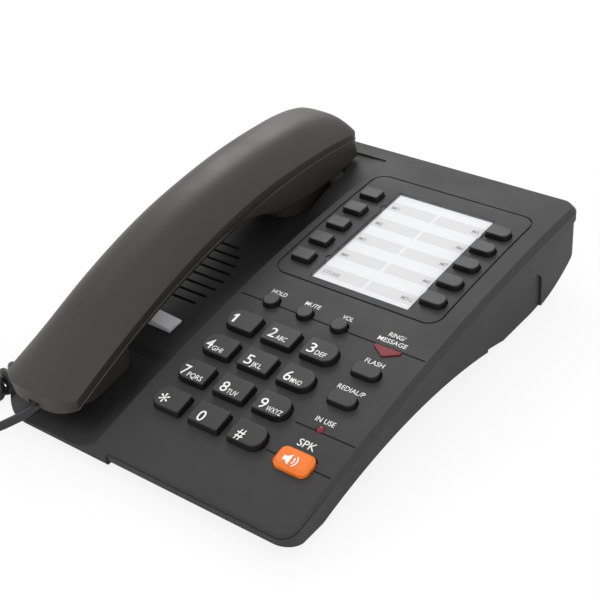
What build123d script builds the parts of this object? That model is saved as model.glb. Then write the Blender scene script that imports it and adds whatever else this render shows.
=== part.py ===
"""Corded desk phone for a hotel room: wedge base, handset in its cradle and 28 keys.

Frame: +X to the user's right, +Y to the rear, +Z up, desk at Z = 0, millimetres.
X = 0 and Y = 0 are the middle of the base's own box.
"""
import math
import os

from build123d import *

os.makedirs("parts", exist_ok=True)

# Base, overall
base_width = 158.0
base_depth = 220.0
base_top_height = 40.0
panel_radius = 833.0
panel_crest_y = 112.0
line_a_y = -16.0
cover_wall = 2.5
tub_wall = 2.5
seat_gap = 0.3
fit_gap = 0.1
cut_overrun = 3.0

# Plan outline of the base
corner_radius = 8.0
cradle_corner_radius = 20.0
bevel_width = 2.6
bevel_height = 2.2
tub_inset = 0.8

# Parting line between the two covers, heights at the front, the middle and the rear
parting_front = 8.2
parting_middle = 28.2
parting_rear = 33.5
cradle_parting_front = 4.8
cradle_parting_middle = 17.6
cradle_parting_rear = 27.0
cradle_step_x = -12.0

# Underside of the tub
tub_foot_height = 3.6
tub_toe_y = -101.0
pad_rear_y = -89.0
lip_height = 0.9
arch_height = 12.5
belly_front_y = 44.0
belly_rear_y = 62.0
stern_middle_z = 6.6
stern_rear_z = 20.0
grip_recess_front_y = 29.0
grip_recess_length = 46.0
grip_recess_top = 23.0
grip_recess_depth = 1.2
grip_recess_radius = 6.0

# Cradle
ridge_x = -19.3
wall_foot_x = -34.0
rim_thickness = 3.0
cradle_rear_y = 99.0
cradle_rear_rise = 6.0
cradle_floor_round = 3.0
floor_front_z = 6.2
floor_well_z = 15.3
floor_well_y = -59.0
floor_middle_z = 17.6
floor_middle_y = -55.0
floor_slope_z = 26.9
floor_slope_y = 37.0
floor_rear_z = 30.6

# Speaker slots in the cradle floor
slot_count = 8
slot_pitch = 5.75
slot_width = 1.5
slot_row_x = -54.0
slot_row_y = -3.0
slot_half_length = 17.5
slot_oval = 30.0
slot_oval_y = -10.0

# Number keys
column_pitch = 20.0
middle_column_x = 16.6
row_pitch = 16.1
first_row_s = -16.6
key_width = 15.2
key_depth = 10.2
key_height = 3.0
key_end_radius = 4.6
key_corner_radius = 0.9
key_edge_radius = 0.5
key_gap = 0.5
key_travel = 1.2
key_flange = 1.2
key_flange_thickness = 1.0

# Function keys
round_key_radius = 3.6
round_key_pitch = 17.6
round_key_first_x = -1.2
pill_key_width = 12.2
pill_key_depth = 6.6
pill_key_x = 59.0
pill_left_radius = 2.0
pill_right_radius = 3.2
flash_key_s = -16.9
redial_key_s = -33.5
speaker_key_width = 16.0
speaker_key_depth = 9.8
speaker_key_x = 59.5
speaker_key_s = -66.6
speaker_key_height = 2.7
speaker_key_radius = 3.0
speaker_key_chamfer = 1.3

# Memory keys
memory_key_depth = 7.0
memory_key_pitch = 13.32
memory_first_s = 31.2
memory_left_x = -6.9
memory_right_x = 60.2
memory_left_width = 9.8
memory_right_width = 10.6
memory_end_radius = 2.9
memory_key_height = 2.5

# Index card and its window
card_width = 50.0
card_depth = 70.6
card_thickness = 0.3
card_margin = 0.5
card_s = 58.1
card_x = 28.0
window_thickness = 0.8
window_recess = 2.0
window_corner = 1.2
tab_radius = 1.5
left_tab_offset = 21.5
right_notch_offset = 22.0

# Grooves, ring lens and lamp
groove_width = 0.8
groove_depth = 0.7
groove_left_x = -15.6
groove_right_x = 69.1
groove_low_s = 18.5
groove_high_s = 103.6
groove_corner = 7.0
line_width = 0.7
line_depth = 0.5
line_b_s = -49.2
line_c_s = -65.3
line_end_x = 76.0
line_a_start_x = -17.2
line_b_start_x = 48.0
line_c_start_x = 46.0
lens_x = 59.0
lens_s = -0.4
lens_width = 12.4
lens_depth = 5.2
lens_end_share = 0.25
lens_height = 0.5
lamp_x = 59.0
lamp_radius = 1.75
lamp_height = 0.4
lamp_round_share = 0.45

# Boards, their membranes and the loudspeaker
board_thickness = 1.6
board_sag_room = 1.2
membrane_thickness = 0.9
pad_board_x = 28.5
pad_board_s = -33.0
pad_board_width = 83.0
pad_board_depth = 80.0
memory_board_x = 26.7
memory_board_s = 59.0
memory_board_width = 81.0
memory_board_depth = 68.0
membrane_margin = 1.5
post_radius = 1.4
post_clearance = 0.5
main_board_x = 28.0
main_board_y = 56.0
main_board_width = 76.0
main_board_depth = 62.0
main_board_z = 14.0
main_post_inset = 5.0
main_post_radius = 2.5
speaker_radius = 20.0
speaker_height = 3.2
speaker_flange = 1.2
speaker_basket_share = 0.85
speaker_basket_taper = 35.0
base_microphone_radius = 4.0
base_microphone_height = 4.0
base_microphone_x = 69.0
base_microphone_y = -93.2
microphone_radius = 4.9
microphone_height = 5.0
microphone_offset = 6.5

# Screws and feet
screw_left_x = -5.0
screw_right_x = 60.0
screw_front_y = -96.0
screw_rear_y = 98.0
cradle_screw_x = -66.0
cradle_screw_y = 72.0
screw_post_radius = 3.2
screw_radius = 1.3
screw_head_radius = 2.4
screw_head_height = 1.5
screw_boss_length = 3.0
screw_engagement = 2.5
foot_radius = 5.0
foot_x = 62.0
foot_front_y = -95.0
foot_rear_y = 53.0

# Sockets in the base
socket_wall = 1.2
line_socket_x = 26.0
line_socket_width = 13.0
line_socket_height = 9.0
line_socket_depth = 14.0
line_socket_z = 27.5
base_jack_y = 88.0
base_jack_z = 15.0

# Hook plunger
plunger_y = -39.5
plunger_depth = 8.1
plunger_left_x = -60.0
plunger_post_x = -52.0
plunger_right_x = -36.2
plunger_stand = 2.2
plunger_low = 1.0
plunger_gap = 0.4
plunger_travel = 3.0
hook_switch_width = 12.0
hook_switch_height = 1.4
plunger_head_gap = 0.3

# Handset, measured along its own chord
handset_x = -52.3
handset_mid_y = -4.5
handset_mid_z = 37.1
handset_tilt = 9.6
handset_half_length = 101.0
handset_half_width = 20.0
handset_waist = 18.6
handset_wall = 2.2
handset_arch = 12.6
handset_arch_skew_share = 0.15
dome_height = 15.0
dome_fall = 1.0
dome_end_round = 24.0
end_overhang = 1.4
end_corner = 5.0
shell_gap = 0.3
grip_depth = 9.5
front_shell_depth = 4.5
ear_shell_depth = 18.5
rear_shell_depth = 13.5
shell_side_draft = 1.4
shell_round_share = 0.6
shell_round_width = 8.0
station_shares = (-1, -0.985, -0.96, -0.92, -0.85, -0.7, -0.5, -0.25, 0, 0.25, 0.45, 0.6, 0.75, 0.87, 0.94, 0.985, 1)
inner_station_shares = (-0.9, -0.8, -0.6, -0.3, 0, 0.3, 0.5, 0.7, 0.9)
cup_half_width = 14.0
cup_corner = 9.0
cup_gap = 0.35
mouth_cup_front = -93.5
mouth_cup_rear = -59.5
mouth_cup_bottom = -12.0
mouth_cup_top = 0.8
ear_cup_front_y = 45.0
ear_cup_rear_y = 84.0
ear_cup_height = 13.0
capsule_radius = 11.0
capsule_height = 5.0
weight_width = 16.0
weight_length = 60.0
weight_height = 4.0
weight_u = -4.0
handset_front_screw = -46.0
handset_rear_screw = 38.0
handset_screw_radius = 1.1
handset_head_radius = 2.0
handset_jack_w = -6.6
hole_radius = 0.9
hole_ring_radius = 4.2
hole_count = 6

# Cord with its plugs and jacks
jack_width = 8.6
jack_height = 6.2
jack_depth = 14.0
plug_corner = 0.8
plug_depth = 11.0
plug_stand = 3.0
wire_radius = 1.9
coil_radius = 3.85
coil_pitch = 5.4
coil_half_turns = 59
coil_x = -86.2
coil_front_y = -103.0
cord_side_count = 6
wire_sample_step = 1.0
bend_share = 0.45
lead_first_run = 8.6
lead_last_run = 9.4

left_x = -base_width / 2
right_x = base_width / 2
front_y = -base_depth / 2
rear_y = base_depth / 2
crest_angle = math.asin((panel_crest_y - line_a_y) / panel_radius)
cover_sides = (
    (left_x, cradle_step_x, (cradle_parting_front, cradle_parting_middle, cradle_parting_rear)),
    (cradle_step_x, right_x, (parting_front, parting_middle, parting_rear)),
)


def top_z(y):
    """Height of the panel's arc at a depth."""
    return base_top_height - panel_radius + math.sqrt(panel_radius**2 - (y - panel_crest_y) ** 2)


def panel_plane(x, s):
    """Plane on the panel at x and at arc length s behind line A."""
    angle = crest_angle - s / panel_radius
    origin = (
        x,
        panel_crest_y - panel_radius * math.sin(angle),
        base_top_height - panel_radius + panel_radius * math.cos(angle),
    )
    return Plane(origin=origin, x_dir=(1, 0, 0), z_dir=(0, -math.sin(angle), math.cos(angle)))


def finish(builder, name):
    """Label a finished piece and write its file."""
    builder.part.label = name
    export_step(builder.part, f"parts/{name}.step")


def base_outline(inset):
    """Plan outline of the base, drawn in by inset."""
    with BuildSketch(Plane.XY.offset(-cut_overrun)) as outline:
        Rectangle(base_width - 2 * inset, base_depth - 2 * inset)
        fillet([v for v in outline.vertices() if v.X > 0 or v.Y > 0], corner_radius - inset)
        fillet([v for v in outline.vertices() if v.X < 0 and v.Y < 0], cradle_corner_radius - inset)
    return outline.sketch


def panel_block(inset, drop):
    """Block under the panel: the plan outline drawn in by inset, the top lowered by drop."""
    front = front_y - cut_overrun
    rear = rear_y + cut_overrun
    with BuildPart() as block:
        with BuildSketch(Plane.YZ.offset(left_x)):
            with BuildLine():
                arc = ThreePointArc(
                    (front, top_z(front) - drop),
                    (0, top_z(0) - drop),
                    (rear, top_z(rear) - drop),
                )
                Polyline(arc @ 1, (rear, -cut_overrun), (front, -cut_overrun), arc @ 0)
            make_face()
        extrude(amount=base_width)
        add(base_outline(inset))
        extrude(amount=base_top_height + 2 * cut_overrun, mode=Mode.INTERSECT)
    return block.part


def below_parting(x_from, x_to, heights):
    """Everything under a parting arc, between two widths."""
    front = front_y - cut_overrun
    rear = rear_y + cut_overrun
    with BuildPart() as below:
        with BuildSketch(Plane.YZ.offset(x_from)):
            with BuildLine():
                arc = ThreePointArc((front, heights[0]), (0, heights[1]), (rear, heights[2]))
                Polyline(arc @ 1, (rear, -cut_overrun), (front, -cut_overrun), arc @ 0)
            make_face()
        extrude(amount=x_to - x_from)
    return below.part


# Cradle floor in the side view
floor_line = (
    (front_y - cut_overrun, floor_front_z),
    (floor_well_y, floor_well_z),
    (floor_middle_y, floor_middle_z),
    (floor_slope_y, floor_slope_z),
    (cradle_rear_y - cradle_rear_rise, floor_rear_z),
    (cradle_rear_y, floor_rear_z + cradle_rear_rise),
)


def floor_z(y):
    """Height of the cradle's floor at a depth."""
    for (y0, z0), (y1, z1) in zip(floor_line, floor_line[1:]):
        if y <= y1:
            break
    return z0 + (z1 - z0) * (y - y0) / (y1 - y0)


def cradle_hollow(wall):
    """The cradle's hollow, grown by a wall."""
    inner_x = left_x + rim_thickness - wall
    cap_z = base_top_height + cut_overrun
    with BuildPart() as hollow:
        for y, z in floor_line:
            depth = y + wall if y == cradle_rear_y else y
            low_z = z - wall
            with BuildSketch(Plane(origin=(0, depth, 0), x_dir=(1, 0, 0), z_dir=(0, -1, 0))):
                with BuildLine():
                    concave = TangentArc(
                        (wall_foot_x + wall, low_z), (ridge_x + wall, top_z(y)), tangent=(1, 0)
                    )
                    Polyline(
                        concave @ 1,
                        (ridge_x + wall, cap_z),
                        (inner_x, cap_z),
                        (inner_x, low_z + cradle_floor_round),
                        (inner_x + cradle_floor_round, low_z),
                        concave @ 0,
                    )
                make_face()
        loft(ruled=True)
    return hollow.part


def plane_axis(plane):
    """Axis through a plane's origin along its normal."""
    return Axis(plane.origin, plane.z_dir)


def rounded_bar(plane, width, depth, left_radius, right_radius, grow=0.0):
    """Rectangle with its own corner radius at each end, grown all round."""
    with BuildSketch(plane) as bar:
        Rectangle(width + 2 * grow, depth + 2 * grow)
        corners = bar.vertices().sort_by(Axis.X)
        left_corners = corners[:2]
        fillet(left_corners, left_radius + grow)
        right_corners = bar.vertices().sort_by(Axis.X)[-2:]
        fillet(right_corners, right_radius + grow)
    return bar.sketch


def disc(plane, radius, grow=0.0):
    """Round outline, grown all round."""
    with BuildSketch(plane) as round_outline:
        Circle(radius + grow)
    return round_outline.sketch


def lens_outline(grow=0.0):
    """Three-cornered outline of the ring lens, with blunt ends."""
    half = lens_width / 2 + grow
    blunt_y = -lens_depth * lens_end_share - grow
    with BuildSketch(panel_plane(lens_x, lens_s)) as lens:
        with BuildLine():
            Polyline(
                (-half, grow),
                (half, grow),
                (half, blunt_y),
                (0, -lens_depth - grow),
                (-half, blunt_y),
                (-half, grow),
            )
        make_face()
    return lens.sketch


def key_outline(plane, shape, grow=0.0):
    """Outline of a key on its plane."""
    if len(shape) == 1:
        return disc(plane, shape[0], grow)
    return rounded_bar(plane, *shape, grow=grow)


# Keys: place across, place along the panel, height and outline
keys = {}
for index, name in enumerate(("1", "2", "3", "4", "5", "6", "7", "8", "9", "star", "0", "hash")):
    column = index % 3 - 1
    left_radius = key_end_radius if column == -1 else key_corner_radius
    right_radius = key_end_radius if column == 1 else key_corner_radius
    keys[f"key_{name}"] = (
        middle_column_x + column_pitch * column,
        first_row_s - row_pitch * (index // 3),
        key_height,
        (key_width, key_depth, left_radius, right_radius),
    )
for index in range(5):
    s = memory_first_s + memory_key_pitch * (4 - index)
    left_shape = (memory_left_width, memory_key_depth, key_corner_radius, key_corner_radius)
    right_shape = (memory_right_width, memory_key_depth, key_corner_radius, memory_end_radius)
    keys[f"key_memory_{index + 1}"] = (memory_left_x, s, memory_key_height, left_shape)
    keys[f"key_memory_{index + 6}"] = (memory_right_x, s, memory_key_height, right_shape)
for index, name in enumerate(("hold", "mute", "volume")):
    x = round_key_first_x + round_key_pitch * index
    keys[f"key_{name}"] = (x, 0.0, memory_key_height, (round_key_radius,))
pill_shape = (pill_key_width, pill_key_depth, pill_left_radius, pill_right_radius)
keys["key_flash"] = (pill_key_x, flash_key_s, memory_key_height, pill_shape)
keys["key_redial"] = (pill_key_x, redial_key_s, memory_key_height, pill_shape)
speaker_shape = (speaker_key_width, speaker_key_depth, speaker_key_radius, speaker_key_radius)
keys["key_speaker"] = (speaker_key_x, speaker_key_s, speaker_key_height, speaker_shape)

# Depths under the panel of what lies below the keys
key_bottom = cover_wall + seat_gap + key_flange_thickness
membrane_top = key_bottom + key_travel + seat_gap + board_sag_room
board_top = membrane_top + membrane_thickness

card_plane = panel_plane(card_x, card_s)
pad_plane = panel_plane(pad_board_x, pad_board_s)
memory_plane = panel_plane(memory_board_x, memory_board_s)
row_gaps = (first_row_s - row_pitch / 2, first_row_s - row_pitch * 5 / 2)
memory_gaps = (memory_first_s + memory_key_pitch / 2, memory_first_s + memory_key_pitch * 7 / 2)
pad_posts = [(middle_column_x + side * column_pitch, s) for side in (-1, 1) for s in row_gaps]
memory_posts = [(x, s) for x in (memory_left_x, memory_right_x) for s in memory_gaps]
boards = (
    ("keypad", pad_plane, pad_board_width, pad_board_depth, pad_posts),
    ("memory", memory_plane, memory_board_width, memory_board_depth, memory_posts),
)
screw_places = (
    (screw_left_x, screw_front_y),
    (screw_right_x, screw_front_y),
    (screw_left_x, screw_rear_y),
    (screw_right_x, screw_rear_y),
    (cradle_screw_x, cradle_screw_y),
)


def board_spots(plane, places):
    """Places on the panel, as places on a board's plane."""
    spots = [plane.to_local_coords(panel_plane(x, s).origin) for x, s in places]
    return [(spot.X, spot.Y) for spot in spots]


def boss_z(x, y):
    """Lower end of the cover's boss over a screw."""
    surface_z = floor_z(y) if x < wall_foot_x else top_z(y)
    return surface_z - cover_wall - screw_boss_length


with BuildPart() as groove_ring:
    low_y = panel_plane(0, groove_low_s).origin.Y
    high_y = panel_plane(0, groove_high_s).origin.Y
    ring_width = groove_right_x - groove_left_x
    with BuildSketch(Plane.XY.offset(base_top_height / 2)):
        with Locations(((groove_left_x + groove_right_x) / 2, (low_y + high_y) / 2)):
            RectangleRounded(ring_width, high_y - low_y, groove_corner)
            RectangleRounded(
                ring_width - 2 * groove_width,
                high_y - low_y - 2 * groove_width,
                groove_corner - groove_width,
                mode=Mode.SUBTRACT,
            )
    extrude(amount=base_top_height)
    add(panel_block(0, groove_depth), mode=Mode.SUBTRACT)

with BuildPart() as cover_cavity:
    add(panel_block(cover_wall, cover_wall))
    add(cradle_hollow(cover_wall), mode=Mode.SUBTRACT)

with BuildPart() as base_top_cover:
    add(panel_block(0, 0))
    panel_face = base_top_cover.faces().sort_by(Axis.Z)[-1]
    chamfer(panel_face.edges(), length=bevel_height, length2=bevel_width, reference=panel_face)
    for x_from, x_to, heights in cover_sides:
        add(below_parting(x_from, x_to, heights), mode=Mode.SUBTRACT)
    add(cradle_hollow(0), mode=Mode.SUBTRACT)
    add(cover_cavity.part, mode=Mode.SUBTRACT)
    add(groove_ring.part, mode=Mode.SUBTRACT)
    # Recess of the index card, with its tab slots
    with BuildSketch(card_plane.offset(-window_recess)):
        Rectangle(card_width + 2 * fit_gap, card_depth + 2 * fit_gap)
        with Locations(
            (-card_width / 2, left_tab_offset),
            (-card_width / 2, -left_tab_offset),
            (card_width / 2, right_notch_offset),
            (card_width / 2, -right_notch_offset),
        ):
            Circle(tab_radius + fit_gap)
    extrude(amount=window_recess + cut_overrun, mode=Mode.SUBTRACT)
    # Openings of the keys, the lens, the lamp and the plunger
    for x, s, height, shape in keys.values():
        add(key_outline(panel_plane(x, s).offset(-cover_wall - cut_overrun), shape, key_gap))
        extrude(amount=cover_wall + 2 * cut_overrun, mode=Mode.SUBTRACT)
    add(lens_outline(fit_gap))
    extrude(amount=cover_wall + cut_overrun, both=True, mode=Mode.SUBTRACT)
    add(disc(panel_plane(lamp_x, line_b_s).offset(-cover_wall - cut_overrun), lamp_radius, fit_gap))
    extrude(amount=cover_wall + 2 * cut_overrun, mode=Mode.SUBTRACT)
    plunger_width = plunger_right_x - plunger_left_x
    plunger_x = (plunger_right_x + plunger_left_x) / 2
    with BuildSketch(Plane.XY.offset(floor_z(plunger_y))):
        with Locations((plunger_x, plunger_y)):
            Rectangle(plunger_width + 2 * plunger_gap, plunger_depth + 2 * plunger_gap)
    extrude(amount=cover_wall + cut_overrun, both=True, mode=Mode.SUBTRACT)
    # Engraved lines
    for start_x, s in ((line_a_start_x, 0.0), (line_b_start_x, line_b_s), (line_c_start_x, line_c_s)):
        with BuildSketch(panel_plane((start_x + line_end_x) / 2, s)):
            Rectangle(line_end_x - start_x, line_width)
        extrude(amount=line_depth, both=True, mode=Mode.SUBTRACT)
    # Slots over the loudspeaker, shorter towards the ends of their oval
    for index in range(slot_count):
        y = slot_row_y + slot_pitch * (index - (slot_count - 1) / 2)
        half = slot_half_length * math.sqrt(1 - ((y - slot_oval_y) / slot_oval) ** 2)
        with BuildSketch(Plane.XY.offset(floor_z(y))):
            with Locations((slot_row_x, y)):
                SlotOverall(2 * half, slot_width)
        extrude(amount=cover_wall + cut_overrun, both=True, mode=Mode.SUBTRACT)
    # Posts that carry the boards, and bosses for the screws
    for name, plane, width, depth, places in boards:
        with BuildSketch(plane.offset(-board_top)):
            with Locations(*board_spots(plane, places)):
                Circle(post_radius)
        extrude(amount=board_top - cover_wall / 2)
    for x, y in screw_places:
        with BuildSketch(Plane.XY.offset(boss_z(x, y))):
            with Locations((x, y)):
                Circle(screw_post_radius)
                Circle(screw_radius, mode=Mode.SUBTRACT)
        extrude(amount=screw_boss_length + cover_wall / 2)
finish(base_top_cover, "base_top_cover")

# Keys, each with a flange under the cover
for name, (x, s, height, shape) in keys.items():
    plane = panel_plane(x, s)
    with BuildPart() as key:
        add(key_outline(plane.offset(-key_bottom), shape))
        extrude(amount=key_bottom + height)
        top_edges = key.faces().sort_by(plane_axis(plane))[-1].edges()
        if name == "key_speaker":
            chamfer(top_edges, speaker_key_chamfer)
        else:
            fillet(top_edges, key_edge_radius)
        add(key_outline(plane.offset(-key_bottom), shape, key_flange))
        extrude(amount=key_flange_thickness)
    finish(key, name)

# Index card and its clear cover
with BuildPart() as index_card:
    with BuildSketch(card_plane.offset(-window_recess)):
        Rectangle(card_width - 2 * card_margin, card_depth - 2 * card_margin)
    extrude(amount=card_thickness)
finish(index_card, "index_card")

with BuildPart() as index_cover:
    with BuildSketch(card_plane.offset(-window_recess + card_thickness)):
        RectangleRounded(card_width, card_depth, window_corner)
        with Locations((-card_width / 2, left_tab_offset), (-card_width / 2, -left_tab_offset)):
            Circle(tab_radius)
        with Locations((card_width / 2, right_notch_offset), (card_width / 2, -right_notch_offset)):
            Circle(tab_radius, mode=Mode.SUBTRACT)
    extrude(amount=window_thickness)
finish(index_cover, "index_cover")

# Ring lens and lamp
with BuildPart() as ring_indicator_lens:
    add(lens_outline())
    extrude(amount=lens_height)
    add(lens_outline())
    extrude(amount=-cover_wall)
finish(ring_indicator_lens, "ring_indicator_lens")

lamp_plane = panel_plane(lamp_x, line_b_s)
with BuildPart() as in_use_led:
    add(disc(lamp_plane.offset(-membrane_top), lamp_radius))
    extrude(amount=membrane_top + lamp_height)
    lamp_rim = in_use_led.faces().sort_by(plane_axis(lamp_plane))[-1].edges()
    fillet(lamp_rim, lamp_radius * lamp_round_share)
finish(in_use_led, "in_use_led")

# Boards with their rubber membranes
for name, plane, width, depth, places in boards:
    with BuildPart() as board:
        with BuildSketch(plane.offset(-board_top - board_thickness)):
            Rectangle(width, depth)
        extrude(amount=board_thickness)
    finish(board, f"{name}_board")
    with BuildPart() as membrane:
        with BuildSketch(plane.offset(-board_top)):
            Rectangle(width - 2 * membrane_margin, depth - 2 * membrane_margin)
            with Locations(*board_spots(plane, places)):
                Circle(post_radius + post_clearance, mode=Mode.SUBTRACT)
            if name == "keypad":
                with Locations(*board_spots(plane, [(lamp_x, line_b_s)])):
                    Circle(lamp_radius + post_clearance, mode=Mode.SUBTRACT)
        extrude(amount=membrane_thickness)
    finish(membrane, f"{name}_membrane")

# Underside of the tub in the side view
arch_middle_y = (pad_rear_y + belly_front_y) / 2
stern_middle_y = (belly_rear_y + rear_y) / 2


def through(y, low, middle, high):
    """Height at a depth on the parabola through three points."""
    total = 0.0
    for (y0, z0), (y1, _), (y2, _) in ((low, middle, high), (middle, high, low), (high, low, middle)):
        total += z0 * (y - y1) * (y - y2) / ((y0 - y1) * (y0 - y2))
    return total


def tub_bottom_z(y):
    """Height of the tub's underside at a depth."""
    if y < pad_rear_y or belly_front_y <= y <= belly_rear_y:
        return tub_foot_height
    if y < belly_front_y:
        points = (
            (pad_rear_y, tub_foot_height),
            (arch_middle_y, arch_height),
            (belly_front_y, tub_foot_height),
        )
    else:
        points = (
            (belly_rear_y, tub_foot_height),
            (stern_middle_y, stern_middle_z),
            (rear_y, stern_rear_z),
        )
    return through(y, *points)


def tub_profile(x_from, x_to, heights, wall):
    """Slice of the tub between two widths, its underside raised by a wall."""
    front = front_y - cut_overrun
    rear = rear_y + cut_overrun
    lift = cut_overrun if wall else -seat_gap
    toe_z = tub_foot_height + wall
    toe_y = tub_toe_y + wall
    with BuildPart() as slice_part:
        with BuildSketch(Plane.YZ.offset(x_from)):
            with BuildLine():
                top = ThreePointArc(
                    (front, heights[0] + lift), (0, heights[1] + lift), (rear, heights[2] + lift)
                )
                Polyline(top @ 0, (front, heights[0] - lip_height + wall), (toe_y, toe_z), (pad_rear_y, toe_z))
                ThreePointArc(
                    (pad_rear_y, toe_z), (arch_middle_y, arch_height + wall), (belly_front_y, toe_z)
                )
                Line((belly_front_y, toe_z), (belly_rear_y, toe_z))
                stern = ThreePointArc(
                    (belly_rear_y, toe_z),
                    (stern_middle_y, stern_middle_z + wall),
                    (rear_y, stern_rear_z + wall),
                )
                Polyline(stern @ 1, (rear, stern_rear_z + wall), top @ 1)
            make_face()
        extrude(amount=x_to - x_from)
    return slice_part.part


with BuildPart() as tub_cavity:
    add(tub_profile(left_x, right_x, cover_sides[1][2], tub_wall))
    add(base_outline(tub_inset + tub_wall))
    extrude(amount=base_top_height + 2 * cut_overrun, mode=Mode.INTERSECT)

with BuildPart() as base_bottom_cover:
    for x_from, x_to, heights in cover_sides:
        add(tub_profile(x_from, x_to, heights, 0))
    add(base_outline(tub_inset))
    extrude(amount=base_top_height + 2 * cut_overrun, mode=Mode.INTERSECT)
    add(tub_cavity.part, mode=Mode.SUBTRACT)
    # Finger recess in the right wall
    recess_plane = Plane.YZ.offset(right_x - tub_inset - grip_recess_depth)
    with BuildSketch(recess_plane):
        with Locations((grip_recess_front_y + grip_recess_length / 2, 0)):
            RectangleRounded(grip_recess_length, 2 * grip_recess_top, grip_recess_radius)
    extrude(amount=grip_recess_depth + cut_overrun, mode=Mode.SUBTRACT)
    # Posts of the screws, and of the main board
    for x, y in screw_places:
        with BuildSketch(Plane.XY.offset(tub_bottom_z(y) + tub_wall / 2)):
            with Locations((x, y)):
                Circle(screw_post_radius)
        extrude(amount=boss_z(x, y) - seat_gap - tub_bottom_z(y) - tub_wall / 2)
        with BuildSketch(Plane.XY.offset(-cut_overrun)):
            with Locations((x, y)):
                Circle(screw_radius + fit_gap)
        extrude(amount=base_top_height, mode=Mode.SUBTRACT)
        with BuildSketch(Plane.XY.offset(tub_bottom_z(y) + screw_head_height)):
            with Locations((x, y)):
                Circle(screw_head_radius + fit_gap)
        extrude(amount=-base_top_height, mode=Mode.SUBTRACT)
    for side_x in (-1, 1):
        for side_y in (-1, 1):
            post_y = main_board_y + side_y * (main_board_depth / 2 - main_post_inset)
            post_x = main_board_x + side_x * (main_board_width / 2 - main_post_inset)
            with BuildSketch(Plane.XY.offset(tub_bottom_z(post_y) + tub_wall / 2)):
                with Locations((post_x, post_y)):
                    Circle(main_post_radius)
            extrude(amount=main_board_z - tub_bottom_z(post_y) - tub_wall / 2)
    # Openings of the line socket and the cord's jack
    with BuildSketch(Plane.XZ.offset(-rear_y - cut_overrun)):
        with Locations((line_socket_x, line_socket_z)):
            Rectangle(line_socket_width + 2 * fit_gap, line_socket_height + 2 * fit_gap)
    extrude(amount=cut_overrun + 2 * (tub_inset + tub_wall), mode=Mode.SUBTRACT)
    with BuildSketch(Plane.YZ.offset(left_x - cut_overrun)):
        with Locations((base_jack_y, base_jack_z)):
            Rectangle(jack_width + 2 * fit_gap, jack_height + 2 * fit_gap)
    extrude(amount=cut_overrun + 2 * (tub_inset + tub_wall), mode=Mode.SUBTRACT)
finish(base_bottom_cover, "base_bottom_cover")

# Screws through the posts, rubber feet and the main board
with BuildPart() as base_screws:
    for x, y in screw_places:
        head_z = tub_bottom_z(y) + screw_head_height
        with BuildSketch(Plane.XY.offset(head_z - screw_head_height)):
            with Locations((x, y)):
                Circle(screw_head_radius)
        extrude(amount=screw_head_height)
        with BuildSketch(Plane.XY.offset(head_z)):
            with Locations((x, y)):
                Circle(screw_radius)
        extrude(amount=boss_z(x, y) + screw_engagement - head_z)
finish(base_screws, "base_screws")

with BuildPart() as rubber_feet:
    with BuildSketch(Plane.XY):
        with Locations(*[(side * foot_x, y) for side in (-1, 1) for y in (foot_front_y, foot_rear_y)]):
            Circle(foot_radius)
    extrude(amount=tub_foot_height)
finish(rubber_feet, "rubber_feet")

with BuildPart() as main_board:
    with BuildSketch(Plane.XY.offset(main_board_z)):
        with Locations((main_board_x, main_board_y)):
            Rectangle(main_board_width, main_board_depth)
    extrude(amount=board_thickness)
finish(main_board, "main_board")

# Loudspeaker, parallel to the floor over it
floor_slope = math.atan2(floor_slope_z - floor_middle_z, floor_slope_y - floor_middle_y)
floor_normal = (0, -math.sin(floor_slope), math.cos(floor_slope))
speaker_origin = (slot_row_x, slot_row_y, floor_z(slot_row_y))
speaker_plane = Plane(origin=speaker_origin, x_dir=(1, 0, 0), z_dir=floor_normal)
with BuildPart() as loudspeaker:
    with BuildSketch(speaker_plane.offset(-cover_wall - seat_gap)):
        Circle(speaker_radius)
    extrude(amount=-speaker_flange)
    with BuildSketch(speaker_plane.offset(-cover_wall - seat_gap - speaker_flange)):
        Circle(speaker_radius * speaker_basket_share)
    extrude(amount=speaker_flange - speaker_height, taper=speaker_basket_taper)
finish(loudspeaker, "loudspeaker")

with BuildPart() as handsfree_microphone:
    with BuildSketch(Plane.XY.offset(tub_foot_height + tub_wall)):
        with Locations((base_microphone_x, base_microphone_y)):
            Circle(base_microphone_radius)
    extrude(amount=base_microphone_height)
finish(handsfree_microphone, "handsfree_microphone")


def socket(plane, width, height, depth):
    """Open-fronted socket: a box from its mouth inwards, with its cavity."""
    with BuildPart() as body:
        with BuildSketch(plane):
            Rectangle(width, height)
        extrude(amount=-depth)
        with BuildSketch(plane):
            Rectangle(width - 2 * socket_wall, height - 2 * socket_wall)
        extrude(amount=socket_wall - depth, mode=Mode.SUBTRACT)
    return body


line_origin = (line_socket_x, rear_y - tub_inset, line_socket_z)
line_plane = Plane(origin=line_origin, x_dir=(-1, 0, 0), z_dir=(0, 1, 0))
line_socket = socket(line_plane, line_socket_width, line_socket_height, line_socket_depth)
finish(line_socket, "line_socket")

base_jack_origin = (left_x + tub_inset, base_jack_y, base_jack_z)
base_jack_plane = Plane(origin=base_jack_origin, x_dir=(0, -1, 0), z_dir=(-1, 0, 0))
base_jack = socket(base_jack_plane, jack_width, jack_height, jack_depth)
finish(base_jack, "base_jack")


def plug(plane):
    """Cord plug in its jack, standing out of the mouth."""
    with BuildPart() as body:
        with BuildSketch(plane.offset(plug_stand)):
            RectangleRounded(
                jack_width - 2 * (socket_wall + fit_gap),
                jack_height - 2 * (socket_wall + fit_gap),
                plug_corner,
            )
        extrude(amount=-plug_stand - plug_depth)
    return body


base_plug = plug(base_jack_plane)
finish(base_plug, "base_plug")

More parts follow.
